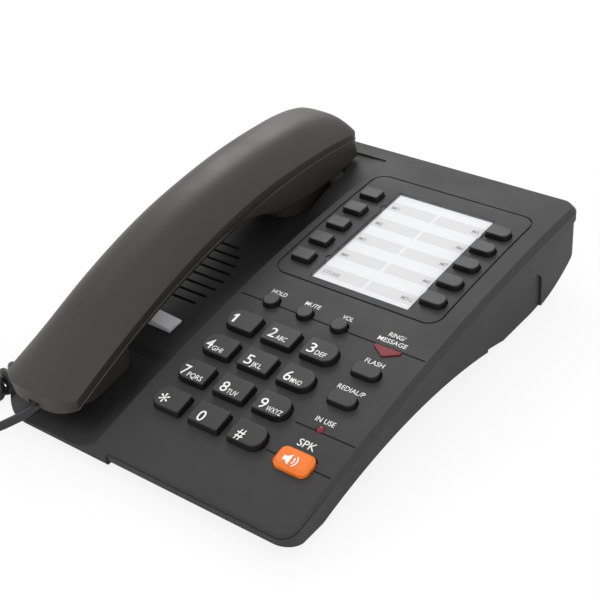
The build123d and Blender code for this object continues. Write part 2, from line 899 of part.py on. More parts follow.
# Handset: u along its chord from the mouth to the ear, w square to it and upwards
tilt = math.radians(handset_tilt)
depth_line = (
    (-1.0, front_shell_depth),
    (-0.5, grip_depth),
    (0.1, grip_depth),
    (0.62, ear_shell_depth),
    (0.75, ear_shell_depth),
    (1.0, rear_shell_depth),
)


def handset_place(u, w):
    """Point of the handset's middle plane in the part's frame."""
    return (
        handset_x,
        handset_mid_y + u * math.cos(tilt) - w * math.sin(tilt),
        handset_mid_z + u * math.sin(tilt) + w * math.cos(tilt),
    )


def section_plane(u):
    """Plane across the handset, its Y upwards."""
    normal = (0, -math.cos(tilt), -math.sin(tilt))
    return Plane(origin=handset_place(u, 0), x_dir=(1, 0, 0), z_dir=normal)


def level_plane(u, w):
    """Plane along the handset, its X across and its Y to the ear end."""
    normal = (0, -math.sin(tilt), math.cos(tilt))
    return Plane(origin=handset_place(u, w), x_dir=(1, 0, 0), z_dir=normal)


def parting_w(u):
    """Height of the handset's parting line."""
    share = u / handset_half_length
    return handset_arch * (1 - share**2) * (1 + handset_arch_skew_share * share)


def side_width(u):
    """Half width of the handset, narrower at the waist and rounded at the ends."""
    share = u / handset_half_length
    half = handset_waist + (handset_half_width - handset_waist) * share**2
    corner = max(0.0, abs(u) - handset_half_length + end_corner)
    return half - end_corner + math.sqrt(end_corner**2 - corner**2)


def dome_rise(u):
    """Height of the top shell over the parting line."""
    rise = dome_height - dome_fall * u / handset_half_length
    into_end = abs(u) - handset_half_length - end_overhang + dome_end_round
    if into_end <= 0:
        return rise
    return rise * math.sqrt(1 - (into_end / dome_end_round) ** 2)


def shell_depth(u):
    """Depth of the bottom shell under the parting line."""
    share = u / handset_half_length
    for (share0, depth0), (share1, depth1) in zip(depth_line, depth_line[1:]):
        if share <= share1:
            break
    blend = (share - share0) / (share1 - share0)
    return depth0 + (depth1 - depth0) * blend**2 * (3 - 2 * blend)


def top_section(share, inset):
    """Half ellipse of the top shell; an inset one reaches under the parting line."""
    u = share * handset_half_length
    half = side_width(u) - inset
    low_w = parting_w(u) - (cut_overrun if inset else 0)
    with BuildSketch(section_plane(u)) as section:
        with BuildLine():
            EllipticalCenterArc((0, parting_w(u)), half, dome_rise(u) - inset, arc_size=180)
            if inset:
                Polyline((-half, parting_w(u)), (-half, low_w), (half, low_w), (half, parting_w(u)))
            else:
                Line((-half, low_w), (half, low_w))
        make_face()
    return section.sketch


def bottom_section(share, inset):
    """Section of the bottom shell; an inset one reaches over its rim."""
    u = share * handset_half_length
    half = side_width(u) - inset
    rim_w = parting_w(u) + (cut_overrun if inset else -shell_gap)
    low_w = parting_w(u) - shell_depth(u) + inset
    arc_x = half - shell_side_draft - shell_round_width
    arc_rise = (shell_depth(u) - inset) * shell_round_share
    with BuildSketch(section_plane(u)) as section:
        with BuildLine():
            right = EllipticalCenterArc(
                (arc_x, low_w + arc_rise), shell_round_width, arc_rise, -90, arc_size=90
            )
            left = EllipticalCenterArc(
                (-arc_x, low_w + arc_rise), shell_round_width, arc_rise, 180, arc_size=90
            )
            Polyline(right @ 1, (half, rim_w), (-half, rim_w), left @ 0)
            Line(left @ 1, right @ 0)
        make_face()
    return section.sketch


def through_sections(section, shares, inset):
    """Loft through the sections at some shares of the half length."""
    with BuildPart() as body:
        for share in shares:
            add(section(share, inset))
        loft()
    return body.part


def cup_outline(plane, length, inset):
    """Rounded outline of a cup, drawn in by inset."""
    with BuildSketch(plane) as outline:
        RectangleRounded(2 * (cup_half_width - inset), length - 2 * inset, cup_corner - inset)
    return outline.sketch


def ring_of_holes(plane):
    """Sound holes: one in the middle and a ring round it."""
    with BuildSketch(plane) as holes:
        Circle(hole_radius)
        with PolarLocations(hole_ring_radius, hole_count):
            Circle(hole_radius)
    return holes.sketch


mouth_length = mouth_cup_rear - mouth_cup_front
mouth_plane = level_plane((mouth_cup_front + mouth_cup_rear) / 2, mouth_cup_bottom)
ear_length = ear_cup_rear_y - ear_cup_front_y
ear_y = (ear_cup_front_y + ear_cup_rear_y) / 2
rear_slope = math.atan2(floor_rear_z - floor_slope_z, cradle_rear_y - cradle_rear_rise - floor_slope_y)
ear_plane = Plane(
    origin=(handset_x, ear_y, floor_z(ear_y) + cup_gap),
    x_dir=(1, 0, 0),
    z_dir=(0, -math.sin(rear_slope), math.cos(rear_slope)),
)
cups = (
    (mouth_plane, mouth_length, mouth_cup_top - mouth_cup_bottom),
    (ear_plane, ear_length / math.cos(rear_slope), ear_cup_height),
)
handset_screw_places = (handset_front_screw, handset_rear_screw)

with BuildPart() as handset_top_shell:
    add(through_sections(top_section, station_shares, 0))
    add(through_sections(top_section, inner_station_shares, handset_wall), mode=Mode.SUBTRACT)
    for u in handset_screw_places:
        with BuildSketch(level_plane(u, parting_w(u))):
            Circle(screw_post_radius)
            Circle(handset_screw_radius, mode=Mode.SUBTRACT)
        extrude(amount=dome_rise(u) - handset_wall / 2)
finish(handset_top_shell, "handset_top_shell")

with BuildPart() as handset_bottom_shell:
    add(through_sections(bottom_section, station_shares, 0))
    for plane, length, height in cups:
        add(cup_outline(plane, length, 0))
        extrude(amount=height)
    add(through_sections(bottom_section, inner_station_shares, handset_wall), mode=Mode.SUBTRACT)
    for plane, length, height in cups:
        add(cup_outline(plane.offset(handset_wall), length, handset_wall))
        extrude(amount=height, mode=Mode.SUBTRACT)
        add(ring_of_holes(plane.offset(-cut_overrun)))
        extrude(amount=handset_wall + 2 * cut_overrun, mode=Mode.SUBTRACT)
    for u in handset_screw_places:
        low_w = parting_w(u) - shell_depth(u)
        with BuildSketch(level_plane(u, low_w + handset_wall / 2)):
            Circle(screw_post_radius)
        extrude(amount=parting_w(u) - shell_gap - low_w - handset_wall / 2)
        with BuildSketch(level_plane(u, low_w - cut_overrun)):
            Circle(handset_screw_radius + fit_gap)
        extrude(amount=handset_half_width + cut_overrun, mode=Mode.SUBTRACT)
        with BuildSketch(level_plane(u, low_w + screw_head_height)):
            Circle(handset_head_radius + fit_gap)
        extrude(amount=-screw_head_height - cut_overrun, mode=Mode.SUBTRACT)
    # Mouth of the cord's jack in the front wall of the mouth cup
    with BuildSketch(section_plane(mouth_cup_front - cut_overrun)):
        with Locations((0, handset_jack_w)):
            Rectangle(jack_width + 2 * fit_gap, jack_height + 2 * fit_gap)
    extrude(amount=-cut_overrun - 2 * handset_wall, mode=Mode.SUBTRACT)
finish(handset_bottom_shell, "handset_bottom_shell")

with BuildPart() as handset_screws:
    for u in handset_screw_places:
        low_w = parting_w(u) - shell_depth(u)
        with BuildSketch(level_plane(u, low_w)):
            Circle(handset_head_radius)
        extrude(amount=screw_head_height)
        with BuildSketch(level_plane(u, low_w)):
            Circle(handset_screw_radius)
        extrude(amount=shell_depth(u) + screw_engagement)
finish(handset_screws, "handset_screws")

with BuildPart() as receiver_capsule:
    with BuildSketch(ear_plane.offset(handset_wall)):
        Circle(capsule_radius)
    extrude(amount=capsule_height)
finish(receiver_capsule, "receiver_capsule")

with BuildPart() as handset_microphone:
    with BuildSketch(mouth_plane.offset(handset_wall)):
        with Locations((0, microphone_offset)):
            Circle(microphone_radius)
    extrude(amount=microphone_height)
finish(handset_microphone, "handset_microphone")

weight_samples = [weight_u + side * weight_length / 2 for side in (-1, 0, 1)]
weight_w = max(parting_w(u) - shell_depth(u) for u in weight_samples) + handset_wall + seat_gap
with BuildPart() as handset_weight:
    with BuildSketch(level_plane(weight_u, weight_w)):
        Rectangle(weight_width, weight_length)
    extrude(amount=weight_height)
finish(handset_weight, "handset_weight")

jack_origin = handset_place(mouth_cup_front, handset_jack_w)
handset_jack_plane = Plane(
    origin=jack_origin, x_dir=(1, 0, 0), z_dir=(0, -math.cos(tilt), -math.sin(tilt))
)
handset_jack = socket(handset_jack_plane, jack_width, jack_height, jack_depth)
finish(handset_jack, "handset_jack")

handset_plug = plug(handset_jack_plane)
finish(handset_plug, "handset_plug")

# Hook plunger: its low end shows beside the handset, its post reaches the grip
plunger_floor = floor_z(plunger_y)
switch_z = tub_bottom_z(arch_middle_y) + tub_wall + fit_gap
plunger_bottom = switch_z + hook_switch_height + seat_gap
plunger_front_u = (plunger_y - plunger_depth / 2 - handset_mid_y) / math.cos(tilt)
under_grip = parting_w(plunger_front_u) - shell_depth(plunger_front_u)
plunger_top = handset_place(plunger_front_u, under_grip)[2] - plunger_head_gap
with BuildPart() as hook_plunger:
    with BuildSketch(Plane.XZ.offset(-plunger_y - plunger_depth / 2)):
        Polygon(
            (plunger_left_x, plunger_bottom),
            (plunger_right_x, plunger_bottom),
            (plunger_right_x, plunger_floor + plunger_low),
            (plunger_post_x + plunger_low, plunger_floor + plunger_stand),
            (plunger_post_x, plunger_top),
            (plunger_left_x, plunger_top),
            align=None,
        )
    extrude(amount=plunger_depth)
finish(hook_plunger, "hook_plunger")

with BuildPart() as hook_switch:
    with BuildSketch(Plane.XY.offset(switch_z)):
        with Locations(((plunger_left_x + plunger_right_x) / 2, plunger_y)):
            Rectangle(hook_switch_width, plunger_depth)
    extrude(amount=hook_switch_height)
finish(hook_switch, "hook_switch")

# Curly cord: its coil on the desk beside the base, and a lead at each end
turn_slope = math.atan2(coil_pitch, 2 * math.pi * coil_radius)
coil_z = coil_radius + wire_radius


def coil_point(half_turns):
    """Point of the coil's centreline, counted in half turns from its front."""
    angle = math.pi * half_turns
    return Vector(
        coil_x + coil_radius * math.sin(angle),
        coil_front_y + coil_pitch * half_turns / 2,
        coil_z - coil_radius * math.cos(angle),
    )


def coil_tangent(half_turns):
    """Direction of the coil's centreline."""
    angle = math.pi * half_turns
    return Vector(
        math.cos(turn_slope) * math.cos(angle),
        math.sin(turn_slope),
        math.cos(turn_slope) * math.sin(angle),
    )


def biarc_joint(p0, t0, p1, t1):
    """Point where two arcs with these end points and directions meet."""
    d = p1 - p0
    a = 2 * (t0.dot(t1) - 1)
    b = -2 * d.dot(t0 + t1)
    c = d.dot(d)
    reach = (-b - math.sqrt(b * b - 4 * a * c)) / (2 * a)
    return ((p0 + t0 * reach) + (p1 - t1 * reach)) * 0.5


coil_start = coil_point(0) - coil_tangent(0) * (2 * wire_radius)
coil_end = coil_point(coil_half_turns) + coil_tangent(coil_half_turns) * (2 * wire_radius)
with BuildPart() as handset_cord_curl:
    with BuildLine() as coil_path:
        Line(coil_start, coil_point(0))
        for index in range(coil_half_turns):
            start = coil_point(index)
            end = coil_point(index + 1)
            direction = coil_tangent(index)
            joint = biarc_joint(start, direction, end, coil_tangent(index + 1))
            arc = TangentArc(start, joint, tangent=direction)
            TangentArc(joint, end, tangent=arc % 1)
        Line(coil_point(coil_half_turns), coil_end)
    with BuildSketch(Plane(origin=coil_start, z_dir=coil_tangent(0))):
        RegularPolygon(wire_radius, cord_side_count)
    sweep()
finish(handset_cord_curl, "handset_cord_curl")
coil_length = coil_path.wires()[0].length
print("coil wire length", round(coil_length, 1), "volume share",
      round(handset_cord_curl.part.volume / coil_length, 3))


def least_gap(wire):
    """Clear gap of a round wire to itself, at points that lie over two diameters apart along it."""
    count = round(wire.length / wire_sample_step)
    skip = math.ceil(4 * wire_radius / wire_sample_step)
    points = [tuple(wire @ (index / count)) for index in range(count + 1)]
    nearest = min(
        math.dist(point, other)
        for index, point in enumerate(points)
        for other in points[index + skip:]
    )
    return nearest - 2 * wire_radius


print("coil least gap to itself", round(least_gap(coil_path.wires()[0]), 2))


def lead(points, name):
    """Round lead through points, with a tangent arc at each of them."""
    vectors = [Vector(*point) for point in points]
    runs = [(b - a) for a, b in zip(vectors, vectors[1:])]
    radii = []
    for before, after in zip(runs, runs[1:]):
        turn = math.radians(before.get_angle(after))
        radii.append(bend_share * min(before.length, after.length) / math.tan(turn / 2))
    print(name, "radii", [round(radius, 1) for radius in radii])
    with BuildPart() as tube:
        with BuildLine() as path:
            FilletPolyline(*points, radius=radii)
        with BuildSketch(Plane(origin=points[0], z_dir=path.line % 0)):
            Circle(wire_radius)
        sweep()
    length = path.wires()[0].length
    section = math.pi * wire_radius**2
    print(name, "length", round(length, 1), "volume share", round(tube.part.volume / length / section, 4))
    print(name, "least gap to itself", round(least_gap(path.wires()[0]), 2))
    return tube


plug_face = handset_jack_plane.offset(plug_stand).origin
plug_exit = handset_jack_plane.offset(plug_stand + lead_first_run).origin
jack_face = base_jack_plane.offset(plug_stand).origin
jack_exit = base_jack_plane.offset(plug_stand + lead_last_run).origin
cord_handset_lead = lead(
    (
        tuple(plug_face),
        tuple(plug_exit),
        (-60.5, -112.8, 8.0),
        (-68.5, -119.0, 3.2),
        (-78.8, -126.0, wire_radius),
        (-91.0, -130.5, wire_radius),
        (-99.2, -127.9, wire_radius),
        (-104.2, -120.9, wire_radius),
        (-103.8, -112.3, wire_radius),
        tuple(coil_start - coil_tangent(0) * lead_first_run),
        tuple(coil_start),
    ),
    "cord_handset_lead",
)
finish(cord_handset_lead, "cord_handset_lead")
cord_base_lead = lead(
    (
        tuple(coil_end),
        tuple(coil_end + coil_tangent(coil_half_turns) * lead_last_run),
        (-105.6, 66.0, 7.6),
        (-105.8, 75.0, 7.0),
        (-100.2, 83.4, 9.4),
        tuple(jack_exit),
        tuple(jack_face),
    ),
    "cord_base_lead",
)
finish(cord_base_lead, "cord_base_lead")
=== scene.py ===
"""Corded hotel phone, dressed round its CAD frame: camera, curly cord, prints, finishes and studio.

Frame: +X to the user's right, +Y to the rear, +Z up, metres. Numbers named _mm are millimetres.
"""
import math
from collections import namedtuple

import bpy
import numpy as np
from bpy.props import FloatProperty, FloatVectorProperty, PointerProperty
from bpy.types import Operator, Panel, PropertyGroup
from mathutils import Matrix


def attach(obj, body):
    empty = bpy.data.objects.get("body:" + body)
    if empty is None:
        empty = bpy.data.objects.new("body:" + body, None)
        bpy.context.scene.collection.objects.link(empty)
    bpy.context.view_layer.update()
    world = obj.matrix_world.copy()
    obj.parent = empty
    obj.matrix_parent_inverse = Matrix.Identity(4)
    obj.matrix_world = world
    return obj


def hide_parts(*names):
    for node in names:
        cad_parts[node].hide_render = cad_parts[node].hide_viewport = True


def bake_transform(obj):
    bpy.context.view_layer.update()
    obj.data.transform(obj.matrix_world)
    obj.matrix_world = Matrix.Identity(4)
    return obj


bl_info = {
    "name": "Corded hotel phone",
    "version": (1, 0, 0),
    "blender": (4, 5, 0),
    "location": "View3D > Sidebar > Phone",
    "description": "Dresses the CAD frame of a corded hotel phone: cord, prints, finishes and studio",
    "category": "Object",
}

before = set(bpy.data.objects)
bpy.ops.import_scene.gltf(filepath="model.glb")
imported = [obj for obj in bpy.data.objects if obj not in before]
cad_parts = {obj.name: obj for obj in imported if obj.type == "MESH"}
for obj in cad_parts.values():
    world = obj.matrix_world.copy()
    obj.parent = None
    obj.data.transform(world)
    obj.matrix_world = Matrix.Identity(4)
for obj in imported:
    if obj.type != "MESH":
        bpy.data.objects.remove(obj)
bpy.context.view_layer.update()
MM = 0.001

# Camera of the picture: place, direction angles and lens
CAMERA_PLACE_MM = (299.12, -356.64, 337.26)
CAMERA_YAW = math.radians(39.835)
CAMERA_DOWN = math.radians(34.038)
CAMERA_ROLL = math.radians(-4.683)
CAMERA_LENS_MM = 77.758
SENSOR_MM = 36.0

# Panel of the base: a cylinder about X, and s runs up it from the line at Y = LINE_Y_MM
PANEL_RADIUS_MM = 833.0
PANEL_CREST_Y_MM = 112.0
PANEL_CREST_Z_MM = 40.0
LINE_Y_MM = -16.0
CREST_ANGLE = math.asin((PANEL_CREST_Y_MM - LINE_Y_MM) / PANEL_RADIUS_MM)

# Lines between which the cover's colour runs over to the cradle's painted shade, which stands in for the
# handset's shadow on the cradle
CRADLE_SHADE_EDGE_MM = (-22.0, -30.0)
CRADLE_SHADE_FRONT_MM = (-106.0, -96.0)

# Key heights over the panel
NUMBER_KEY_TOP_MM = 3.0
SPEAKER_KEY_TOP_MM = 2.7

# Grain of the moulded plastics: blotches, specks as a multiple of the grain, swing of the gloss, bump
BLOTCH_MM = 22.0
SPECK_TIMES = 2.5
GLOSS_SWING = 0.04
BUMP_DEPTH_MM = 0.06
NOISE_RANGE = (0.3, 0.7)
# Clear plastic: refraction, width of its flow marks and their swing of the gloss
REFRACTION = 1.49
FLOW_MM = 9.0
FLOW_SWING = 0.05
# Steel: width and gloss of its turned marks
STEEL_MARK_MM = 0.3
STEEL_GLOSS = (0.25, 0.45)
# Upward parts of the normal between which the painted shade on a key's walls turns to its grey face
KEY_FACE_NORMALS = (0.75, 0.93)

# Index card: a flat sheet in its recess, square to the panel at its own middle
CARD_X_MM = 28.0
CARD_S_MM = 58.1
CARD_WIDTH_MM = 49.0
CARD_DEPTH_MM = 69.6
CARD_TOP_MM = -1.7
CARD_SKIN_MM = 0.05

# Handset: u runs along it from the mouth to the ear, w square to u and upwards
HANDSET_MIDDLE_MM = (-52.3, -4.5, 37.1)
HANDSET_TILT = math.radians(9.6)
HANDSET_HALF_LENGTH_MM = 101.0
HANDSET_HALF_WIDTH_MM = 20.0
HANDSET_WAIST_MM = 18.6
HANDSET_CORNER_MM = 5.0
HANDSET_ARCH_MM = 12.6
HANDSET_ARCH_SKEW = 0.15
# Cap of the handset: heights w of its crown, and rise of its crease over the shells' parting line
CROWN_MM = (
    (-105.4, 4.2), (-92.0, 8.8), (-80.0, 13.6), (-62.0, 20.3), (-40.0, 25.4), (-15.0, 28.2),
    (15.0, 27.8), (40.0, 25.6), (62.0, 21.9), (80.0, 17.6), (92.0, 12.8), (97.0, 9.8),
    (100.0, 6.6), (101.0, 4.4),
)
CREASE_MM = ((-105.4, 1.3), (-80.0, 1.6), (-40.0, 2.1), (0.0, 2.6), (30.0, 2.3), (60.0, 1.2), (101.0, 0.5))
SKIRT_TAPER_MM = ((-105.4, 0.2), (-80.0, 0.6), (-50.0, 1.1), (10.0, 1.1), (62.0, 0.5), (101.0, 0.5))
CROWN_POWER = 2.8
MOUTH_END_MM = -105.4
MOUTH_BULGE_MM = 6.4
MOUTH_POWER = 3.5
MOUTH_FADE_MM = 26.0
CAP_PROUD_MM = 0.15
CAP_RIM_MM = 0.3
CAP_SEAM_MM = 3.4
CAP_BEAD_MM = 0.3
CAP_WALL_MM = 2.2
CAP_LIP_MM = 3.4
CAP_EVEN_END_MM = 88.0
CAP_CROWD_MM = 12.0
CAP_CROWD_FROM = 0.05
CAP_COUNTS = (80, 16)
CAP_ACROSS_COUNT = 53
NOTCH_HALF_MM = (3.1, 3.4)
NOTCH_RISE_MM = 2.8
CAP_MOUTH_INNER_MM = -98.5
CAP_EAR_INNER_MM = 97.5
SHARP_CORNER = math.radians(24)

# Upright sides at the ear end: depth of the bottom shell, and the share that the sides reach of it at first
SHELL_DEPTH_MM = ((-101.0, 4.5), (-50.5, 9.5), (10.1, 9.5), (62.6, 18.5), (75.8, 18.5), (101.0, 13.5))
SIDE_START_MM = 4.0
SIDE_FULL_MM = 40.0
SIDE_START_SHARE = 0.4
SIDE_EVEN_END_MM = 92.0
SIDE_CROWD_MM = 8.0
SIDE_CROWD_FROM = 0.1
SIDE_COUNTS = (40, 12)
SIDE_END_COUNT = 13
SIDE_INSET_MM = 0.55
SIDE_BAND_MM = 8.5
SIDE_BELOW_MM = 0.05
# Their rounded lower edge: share of x, step back from the end and rise over the bottom, from above downwards
SIDE_EDGE = ((1.0, 0.0, 1.0), (0.985, 0.3, 0.3), (0.95, 1.0, 0.0))

# Bank of the cradle beside the ear end: a table of its low edge's height along Y, and the ranges of Y
# where it rises to the panel at its rear end and where it reaches in under the handset
BANK_X_MM = (-31.7, -17.6)
BANK_CREST_X_MM = -11.6
BANK_Y_MM = (20.0, 106.5)
BANK_COUNTS = (25, 41)
BANK_HEIGHT_MM = ((20.0, 24.5), (45.0, 28.5), (60.0, 34.5), (72.0, 37.2), (99.4, 38.4))
BANK_SWEEP_POWER = 1.6
BANK_MERGE_MM = (96.0, 101.5)
BANK_UNDERCUT_MM = (80.0, 90.0)
BANK_UNDERCUT_REACH_MM = 5.0
BANK_FOOT_MM = 23.0
BANK_TUCK_MM = 0.25
BANK_SHARP_CORNER = math.radians(40)

# Cord
PLUG_FACE_MM = (-52.3, -98.55, 14.5)
PLUG_EXIT_MM = (-52.3, -107.03, 13.07)
JACK_FACE_MM = (-81.2, 88.0, 15.0)
JACK_EXIT_MM = (-90.6, 88.0, 15.0)
COIL_X_MM = -86.2
COIL_FRONT_Y_MM = -103.0
COIL_Z_MM = 5.75
COIL_RADIUS_MM = 3.85
COIL_PITCH_MM = 5.4
COIL_TURNS = 29.5
COIL_POINTS_PER_TURN = 12
COIL_START_MM = (-89.909, -103.828, 1.9)
COIL_END_MM = (-89.909, 57.128, 9.6)
COIL_LEAD_IN_MM = (-98.302, -105.702, 1.9)
COIL_LEAD_OUT_MM = (-99.083, 59.176, 9.6)
HANDSET_LEAD_MM = (
    PLUG_FACE_MM,
    PLUG_EXIT_MM,
    (-60.5, -112.8, 8.0),
    (-68.5, -119.0, 3.2),
    (-78.8, -126.0, 1.9),
    (-91.0, -130.5, 1.9),
    (-99.2, -127.9, 1.9),
    (-104.2, -120.9, 1.9),
    (-103.8, -112.3, 1.9),
    COIL_LEAD_IN_MM,
    COIL_START_MM,
)
BASE_LEAD_MM = (
    COIL_END_MM,
    COIL_LEAD_OUT_MM,
    (-105.6, 66.0, 7.6),
    (-105.8, 75.0, 7.0),
    (-100.2, 83.4, 9.4),
    JACK_EXIT_MM,
    JACK_FACE_MM,
)
SAME_POINT = 5e-5
LEAD_RESOLUTION = 8
COIL_RESOLUTION = 4
LEAD_SIDES = 16
COIL_SIDES = 12
BOOT_SIDES = 20
# Ribbed sleeve at a plug: places along it as shares of its length, and how far it stands over the cord there
BOOT_SHARES = (-0.05, 0.0, 0.3, 0.34, 0.46, 0.5, 0.62, 0.66, 0.78, 0.82, 0.94, 1.0)
BOOT_SWELLS_MM = (0.2, 0.62, 0.6, 0.38, 0.38, 0.5, 0.48, 0.3, 0.3, 0.38, 0.34, 0.06)

# Prints: the words of a label with their place, capital height, width, lift and alignment
Label = namedtuple("Label", "words x s height width lift align")
LETTER_WEIGHT = 0.004
LETTER_SINK = 0.3
# Number keys: baseline of each row with its keys, and each key's name, mark and letters
KEY_ROWS_MM = (
    (-18.6, (("1", "1", ""), ("2", "2", "ABC"), ("3", "3", "DEF"))),
    (-35.3, (("4", "4", "GHI"), ("5", "5", "JKL"), ("6", "6", "MNO"))),
    (-51.4, (("7", "7", "PQRS"), ("8", "8", "TUV"), ("9", "9", "WXYZ"))),
    (-67.6, (("star", "*", ""), ("0", "0", ""), ("hash", "#", ""))),
)
KEY_STARTS_MM = (-8.8, 11.8, 31.7)
KEY_NUDGES_MM = {"star": 0.9, "0": 0.9, "hash": 0.6, "2": -0.4, "3": -0.4, "9": -0.3}
DIGIT_WIDTH_MM = 3.3
MARK_WIDTHS_MM = {"*": 4.4, "#": 3.7}
STAR_HEIGHT_SHARE = 1.45
STAR_DROP_SHARE = 0.32
LETTERS_STEP_MM = (3.8, -0.1)
LETTERS_WIDTH_MM = {3: 5.2, 4: 7.4}
# The 1, drawn because the font's has another flag: its outline from the foot of its stem, turning left
ONE_PLACE_MM = (-8.4, -18.6)
ONE_OUTLINE_MM = ((0.95, 0), (2.1, 0), (2.1, 5), (1.15, 5), (0, 3.9), (0, 3.05), (0.95, 3.7))
# Words on the panel: middle, baseline and width
PANEL_WORDS_MM = (
    ("HOLD", -1.6, 5.9, 7.6),
    ("MUTE", 16.1, 5.9, 7.6),
    ("VOL", 34.1, 5.9, 5.3),
    ("RING/", 58.4, 5.9, 7.6),
    ("MESSAGE", 58.4, 2.3, 13.6),
    ("FLASH", 58.6, -10.8, 8.8),
    ("REDIAL/P", 58.6, -27.3, 12.6),
    ("IN USE", 58.7, -45.0, 8.9),
)
SPEAKER_WORD_MM = ("SPK", 58.9, -58.1, 8.0)
# Horn on the orange key: outline of the horn, and two waves as arcs about its mouth
HORN_PLACE_MM = (58.0, -66.4)
HORN_OUTLINE_MM = ((-2.4, -1.0), (-1.1, -1.0), (0.9, -2.5), (0.9, 2.5), (-1.1, 1.0), (-2.4, 1.0))
HORN_MOUTH_MM = 0.9
WAVE_RADII_MM = (1.6, 2.9)
WAVE_REACH_MM = (0.4, -0.2)
WAVE_HALF_DEGREES = 50
WAVE_COUNT = 14
HORN_LIFT_MM = 0.02
HORN_HALF_THICKNESS_MM = 0.03
# Index card: low edges of its rows of fields with the words in them, and the two columns
CARD_ROWS_MM = (
    (26.4, "STORE", "MSG"), (40.2, "M4", "M8"), (53.6, "M3", "M7"), (66.9, "M2", "M6"), (80.3, "M1", "M5"),
)
CARD_COLUMNS_MM = ((4.0, 27.3), (28.7, 52.0))
CARD_FIELD_HEIGHT_MM = 6.6
CARD_WORD_HEIGHT_MM = 2.2
CARD_WORD_WIDTH_MM = 3.4
CARD_WIDE_WORDS_MM = {"STORE": 8.6, "MSG": 5.4}
CARD_LEFT_WORD_MM = (5.6, 1.4)
CARD_RIGHT_WORD_MM = (50.9, 2.0)

# Stage: floor, its shades, and the lamps' places and sizes in metres
FLOOR_REACH = 3.0
FLOOR_SHADE = 0.9
FLOOR_ROUGHNESS = 0.8
FLOOR_GLOW = 0.85
KEY_LAMP = ((-0.6, 0.75, 0.75), 0.5)
FILL_LAMP = ((0.9, -0.5, 0.5), 0.8)


def srgb(red, green, blue):
    """Linear colour of three 8-bit levels, by the usual curve of screens."""
    levels = np.array((red, green, blue)) / 255
    linear = np.where(levels <= 0.04045, levels / 12.92, ((levels + 0.055) / 1.055) ** 2.4)
    return tuple(float(level) for level in linear)


def colour(name, levels, words):
    """Property for one finish colour."""
    return FloatVectorProperty(
        name=name, description=words, subtype="COLOR", size=3, min=0, max=1, default=srgb(*levels)
    )


def length(name, millimetres, words):
    """Property for one size, in metres."""
    return FloatProperty(
        name=name, description=words, subtype="DISTANCE", unit="LENGTH", default=millimetres * MM
    )


class PhoneColours(PropertyGroup):
    """Colours of the phone's finishes."""

    cover: colour("Cover", (38, 38, 38), "Upper cover of the base, grained plastic")
    tub: colour("Tub", (38, 38, 37), "Lower cover of the base, grained plastic")
    handset: colour("Handset", (46, 44, 41), "Both handset shells, fine satin plastic")
    # The cradle colour is painted shade: the handset's shadow on the cradle's floor, painted darker into the
    # cover
    cradle: colour("Cradle", (10, 10, 11), "Floor of the handset's cradle, the darkest part of the cover")
    key: colour("Keys", (38, 38, 38), "All keys but the speaker key")
    # Painted shade: the keys' walls face away from the light from above, and their darkness is painted into
    # their colour
    key_wall_painted_shade: colour("Key walls", (8, 8, 8), "Black sides of the keys")
    speaker: colour("Speaker key", (240, 118, 30), "Orange key at the front")
    hook: colour("Hook plunger", (200, 200, 203), "Plunger under the handset")
    card: colour("Card", (196, 195, 197), "Paper of the index card")
    field: colour("Card fields", (210, 210, 210), "Paler fields printed on the card")
    card_ink: colour("Card ink", (138, 138, 142), "Grey lettering on the card")
    ink: colour("Ink", (235, 235, 233), "White lettering on keys and panel")
    lens: colour("Red lens", (140, 14, 36), "Ring lens and lamp")
    cord: colour("Cord", (26, 27, 30), "Jacket of the curly cord")


class PhoneSizes(PropertyGroup):
    """Sizes of the cord and the prints."""

    cord_diameter: length("Cord diameter", 3.8, "Thickness of the cord's wire")
    boot_length: length("Boot length", 5.5, "Length of the sleeve where the cord leaves a plug")
    digit_height: length("Digit height", 5.0, "Capital height of the digits on the keys")
    letter_height: length("Letter height", 2.4, "Capital height of the letters on the keys")
    label_height: length("Label height", 2.3, "Capital height of the words on the panel")
    speaker_label: length("Speaker label height", 3.4, "Capital height of the word at the orange key")
    print_thickness: length("Print thickness", 0.05, "How far the ink stands proud")


class PhoneStudio(PropertyGroup):
    """Strengths of the studio lamps."""

    key_light: FloatProperty(name="Key light", description="Lamp at the rear left", default=4.0, min=0)
    fill_light: FloatProperty(name="Fill light", description="Lamp at the right", default=1.0, min=0)
    sky: FloatProperty(name="Sky", description="Strength of the world", default=1.0, min=0)


def material_nodes(name):
    """New material with its nodes, links, shader and object coordinates."""
    material = bpy.data.materials.new(name)
    material.use_nodes = True
    nodes = material.node_tree.nodes
    links = material.node_tree.links
    shader = nodes["Principled BSDF"]
    place = nodes.new("ShaderNodeTexCoord").outputs["Object"]
    return material, nodes, links, shader, place


def noise(nodes, links, place, grain_mm, detail=2.0):
    """Noise whose blotches are about grain_mm across."""
    texture = nodes.new("ShaderNodeTexNoise")
    texture.inputs["Scale"].default_value = 1 / (grain_mm * MM)
    texture.inputs["Detail"].default_value = detail
    links.new(place, texture.inputs["Vector"])
    return texture.outputs["Fac"]


def ranged(nodes, links, value, start, end, low=0.0, high=1.0):
    """A value carried from one range to another, and kept inside it."""
    node = nodes.new("ShaderNodeMapRange")
    node.inputs["From Min"].default_value = start
    node.inputs["From Max"].default_value = end
    node.inputs["To Min"].default_value = low
    node.inputs["To Max"].default_value = high
    links.new(value, node.inputs["Value"])
    return node.outputs["Result"]


def mapped(nodes, links, value, low, high):
    """A noise value carried to a range."""
    return ranged(nodes, links, value, *NOISE_RANGE, low, high)


def tint_base(material, share, tint, tint_side, base_side):
    """Mixes a tint into the base colour that a material has, by a share; the sides are the mix's A and B."""
    nodes = material.node_tree.nodes
    links = material.node_tree.links
    base = nodes["Principled BSDF"].inputs["Base Color"]
    shade = nodes.new("ShaderNodeMix")
    shade.data_type = "RGBA"
    shade.inputs[tint_side].default_value = (*tint, 1)
    links.new(share, shade.inputs["Factor"])
    links.new(base.links[0].from_socket, shade.inputs[base_side])
    links.new(shade.outputs["Result"], base)


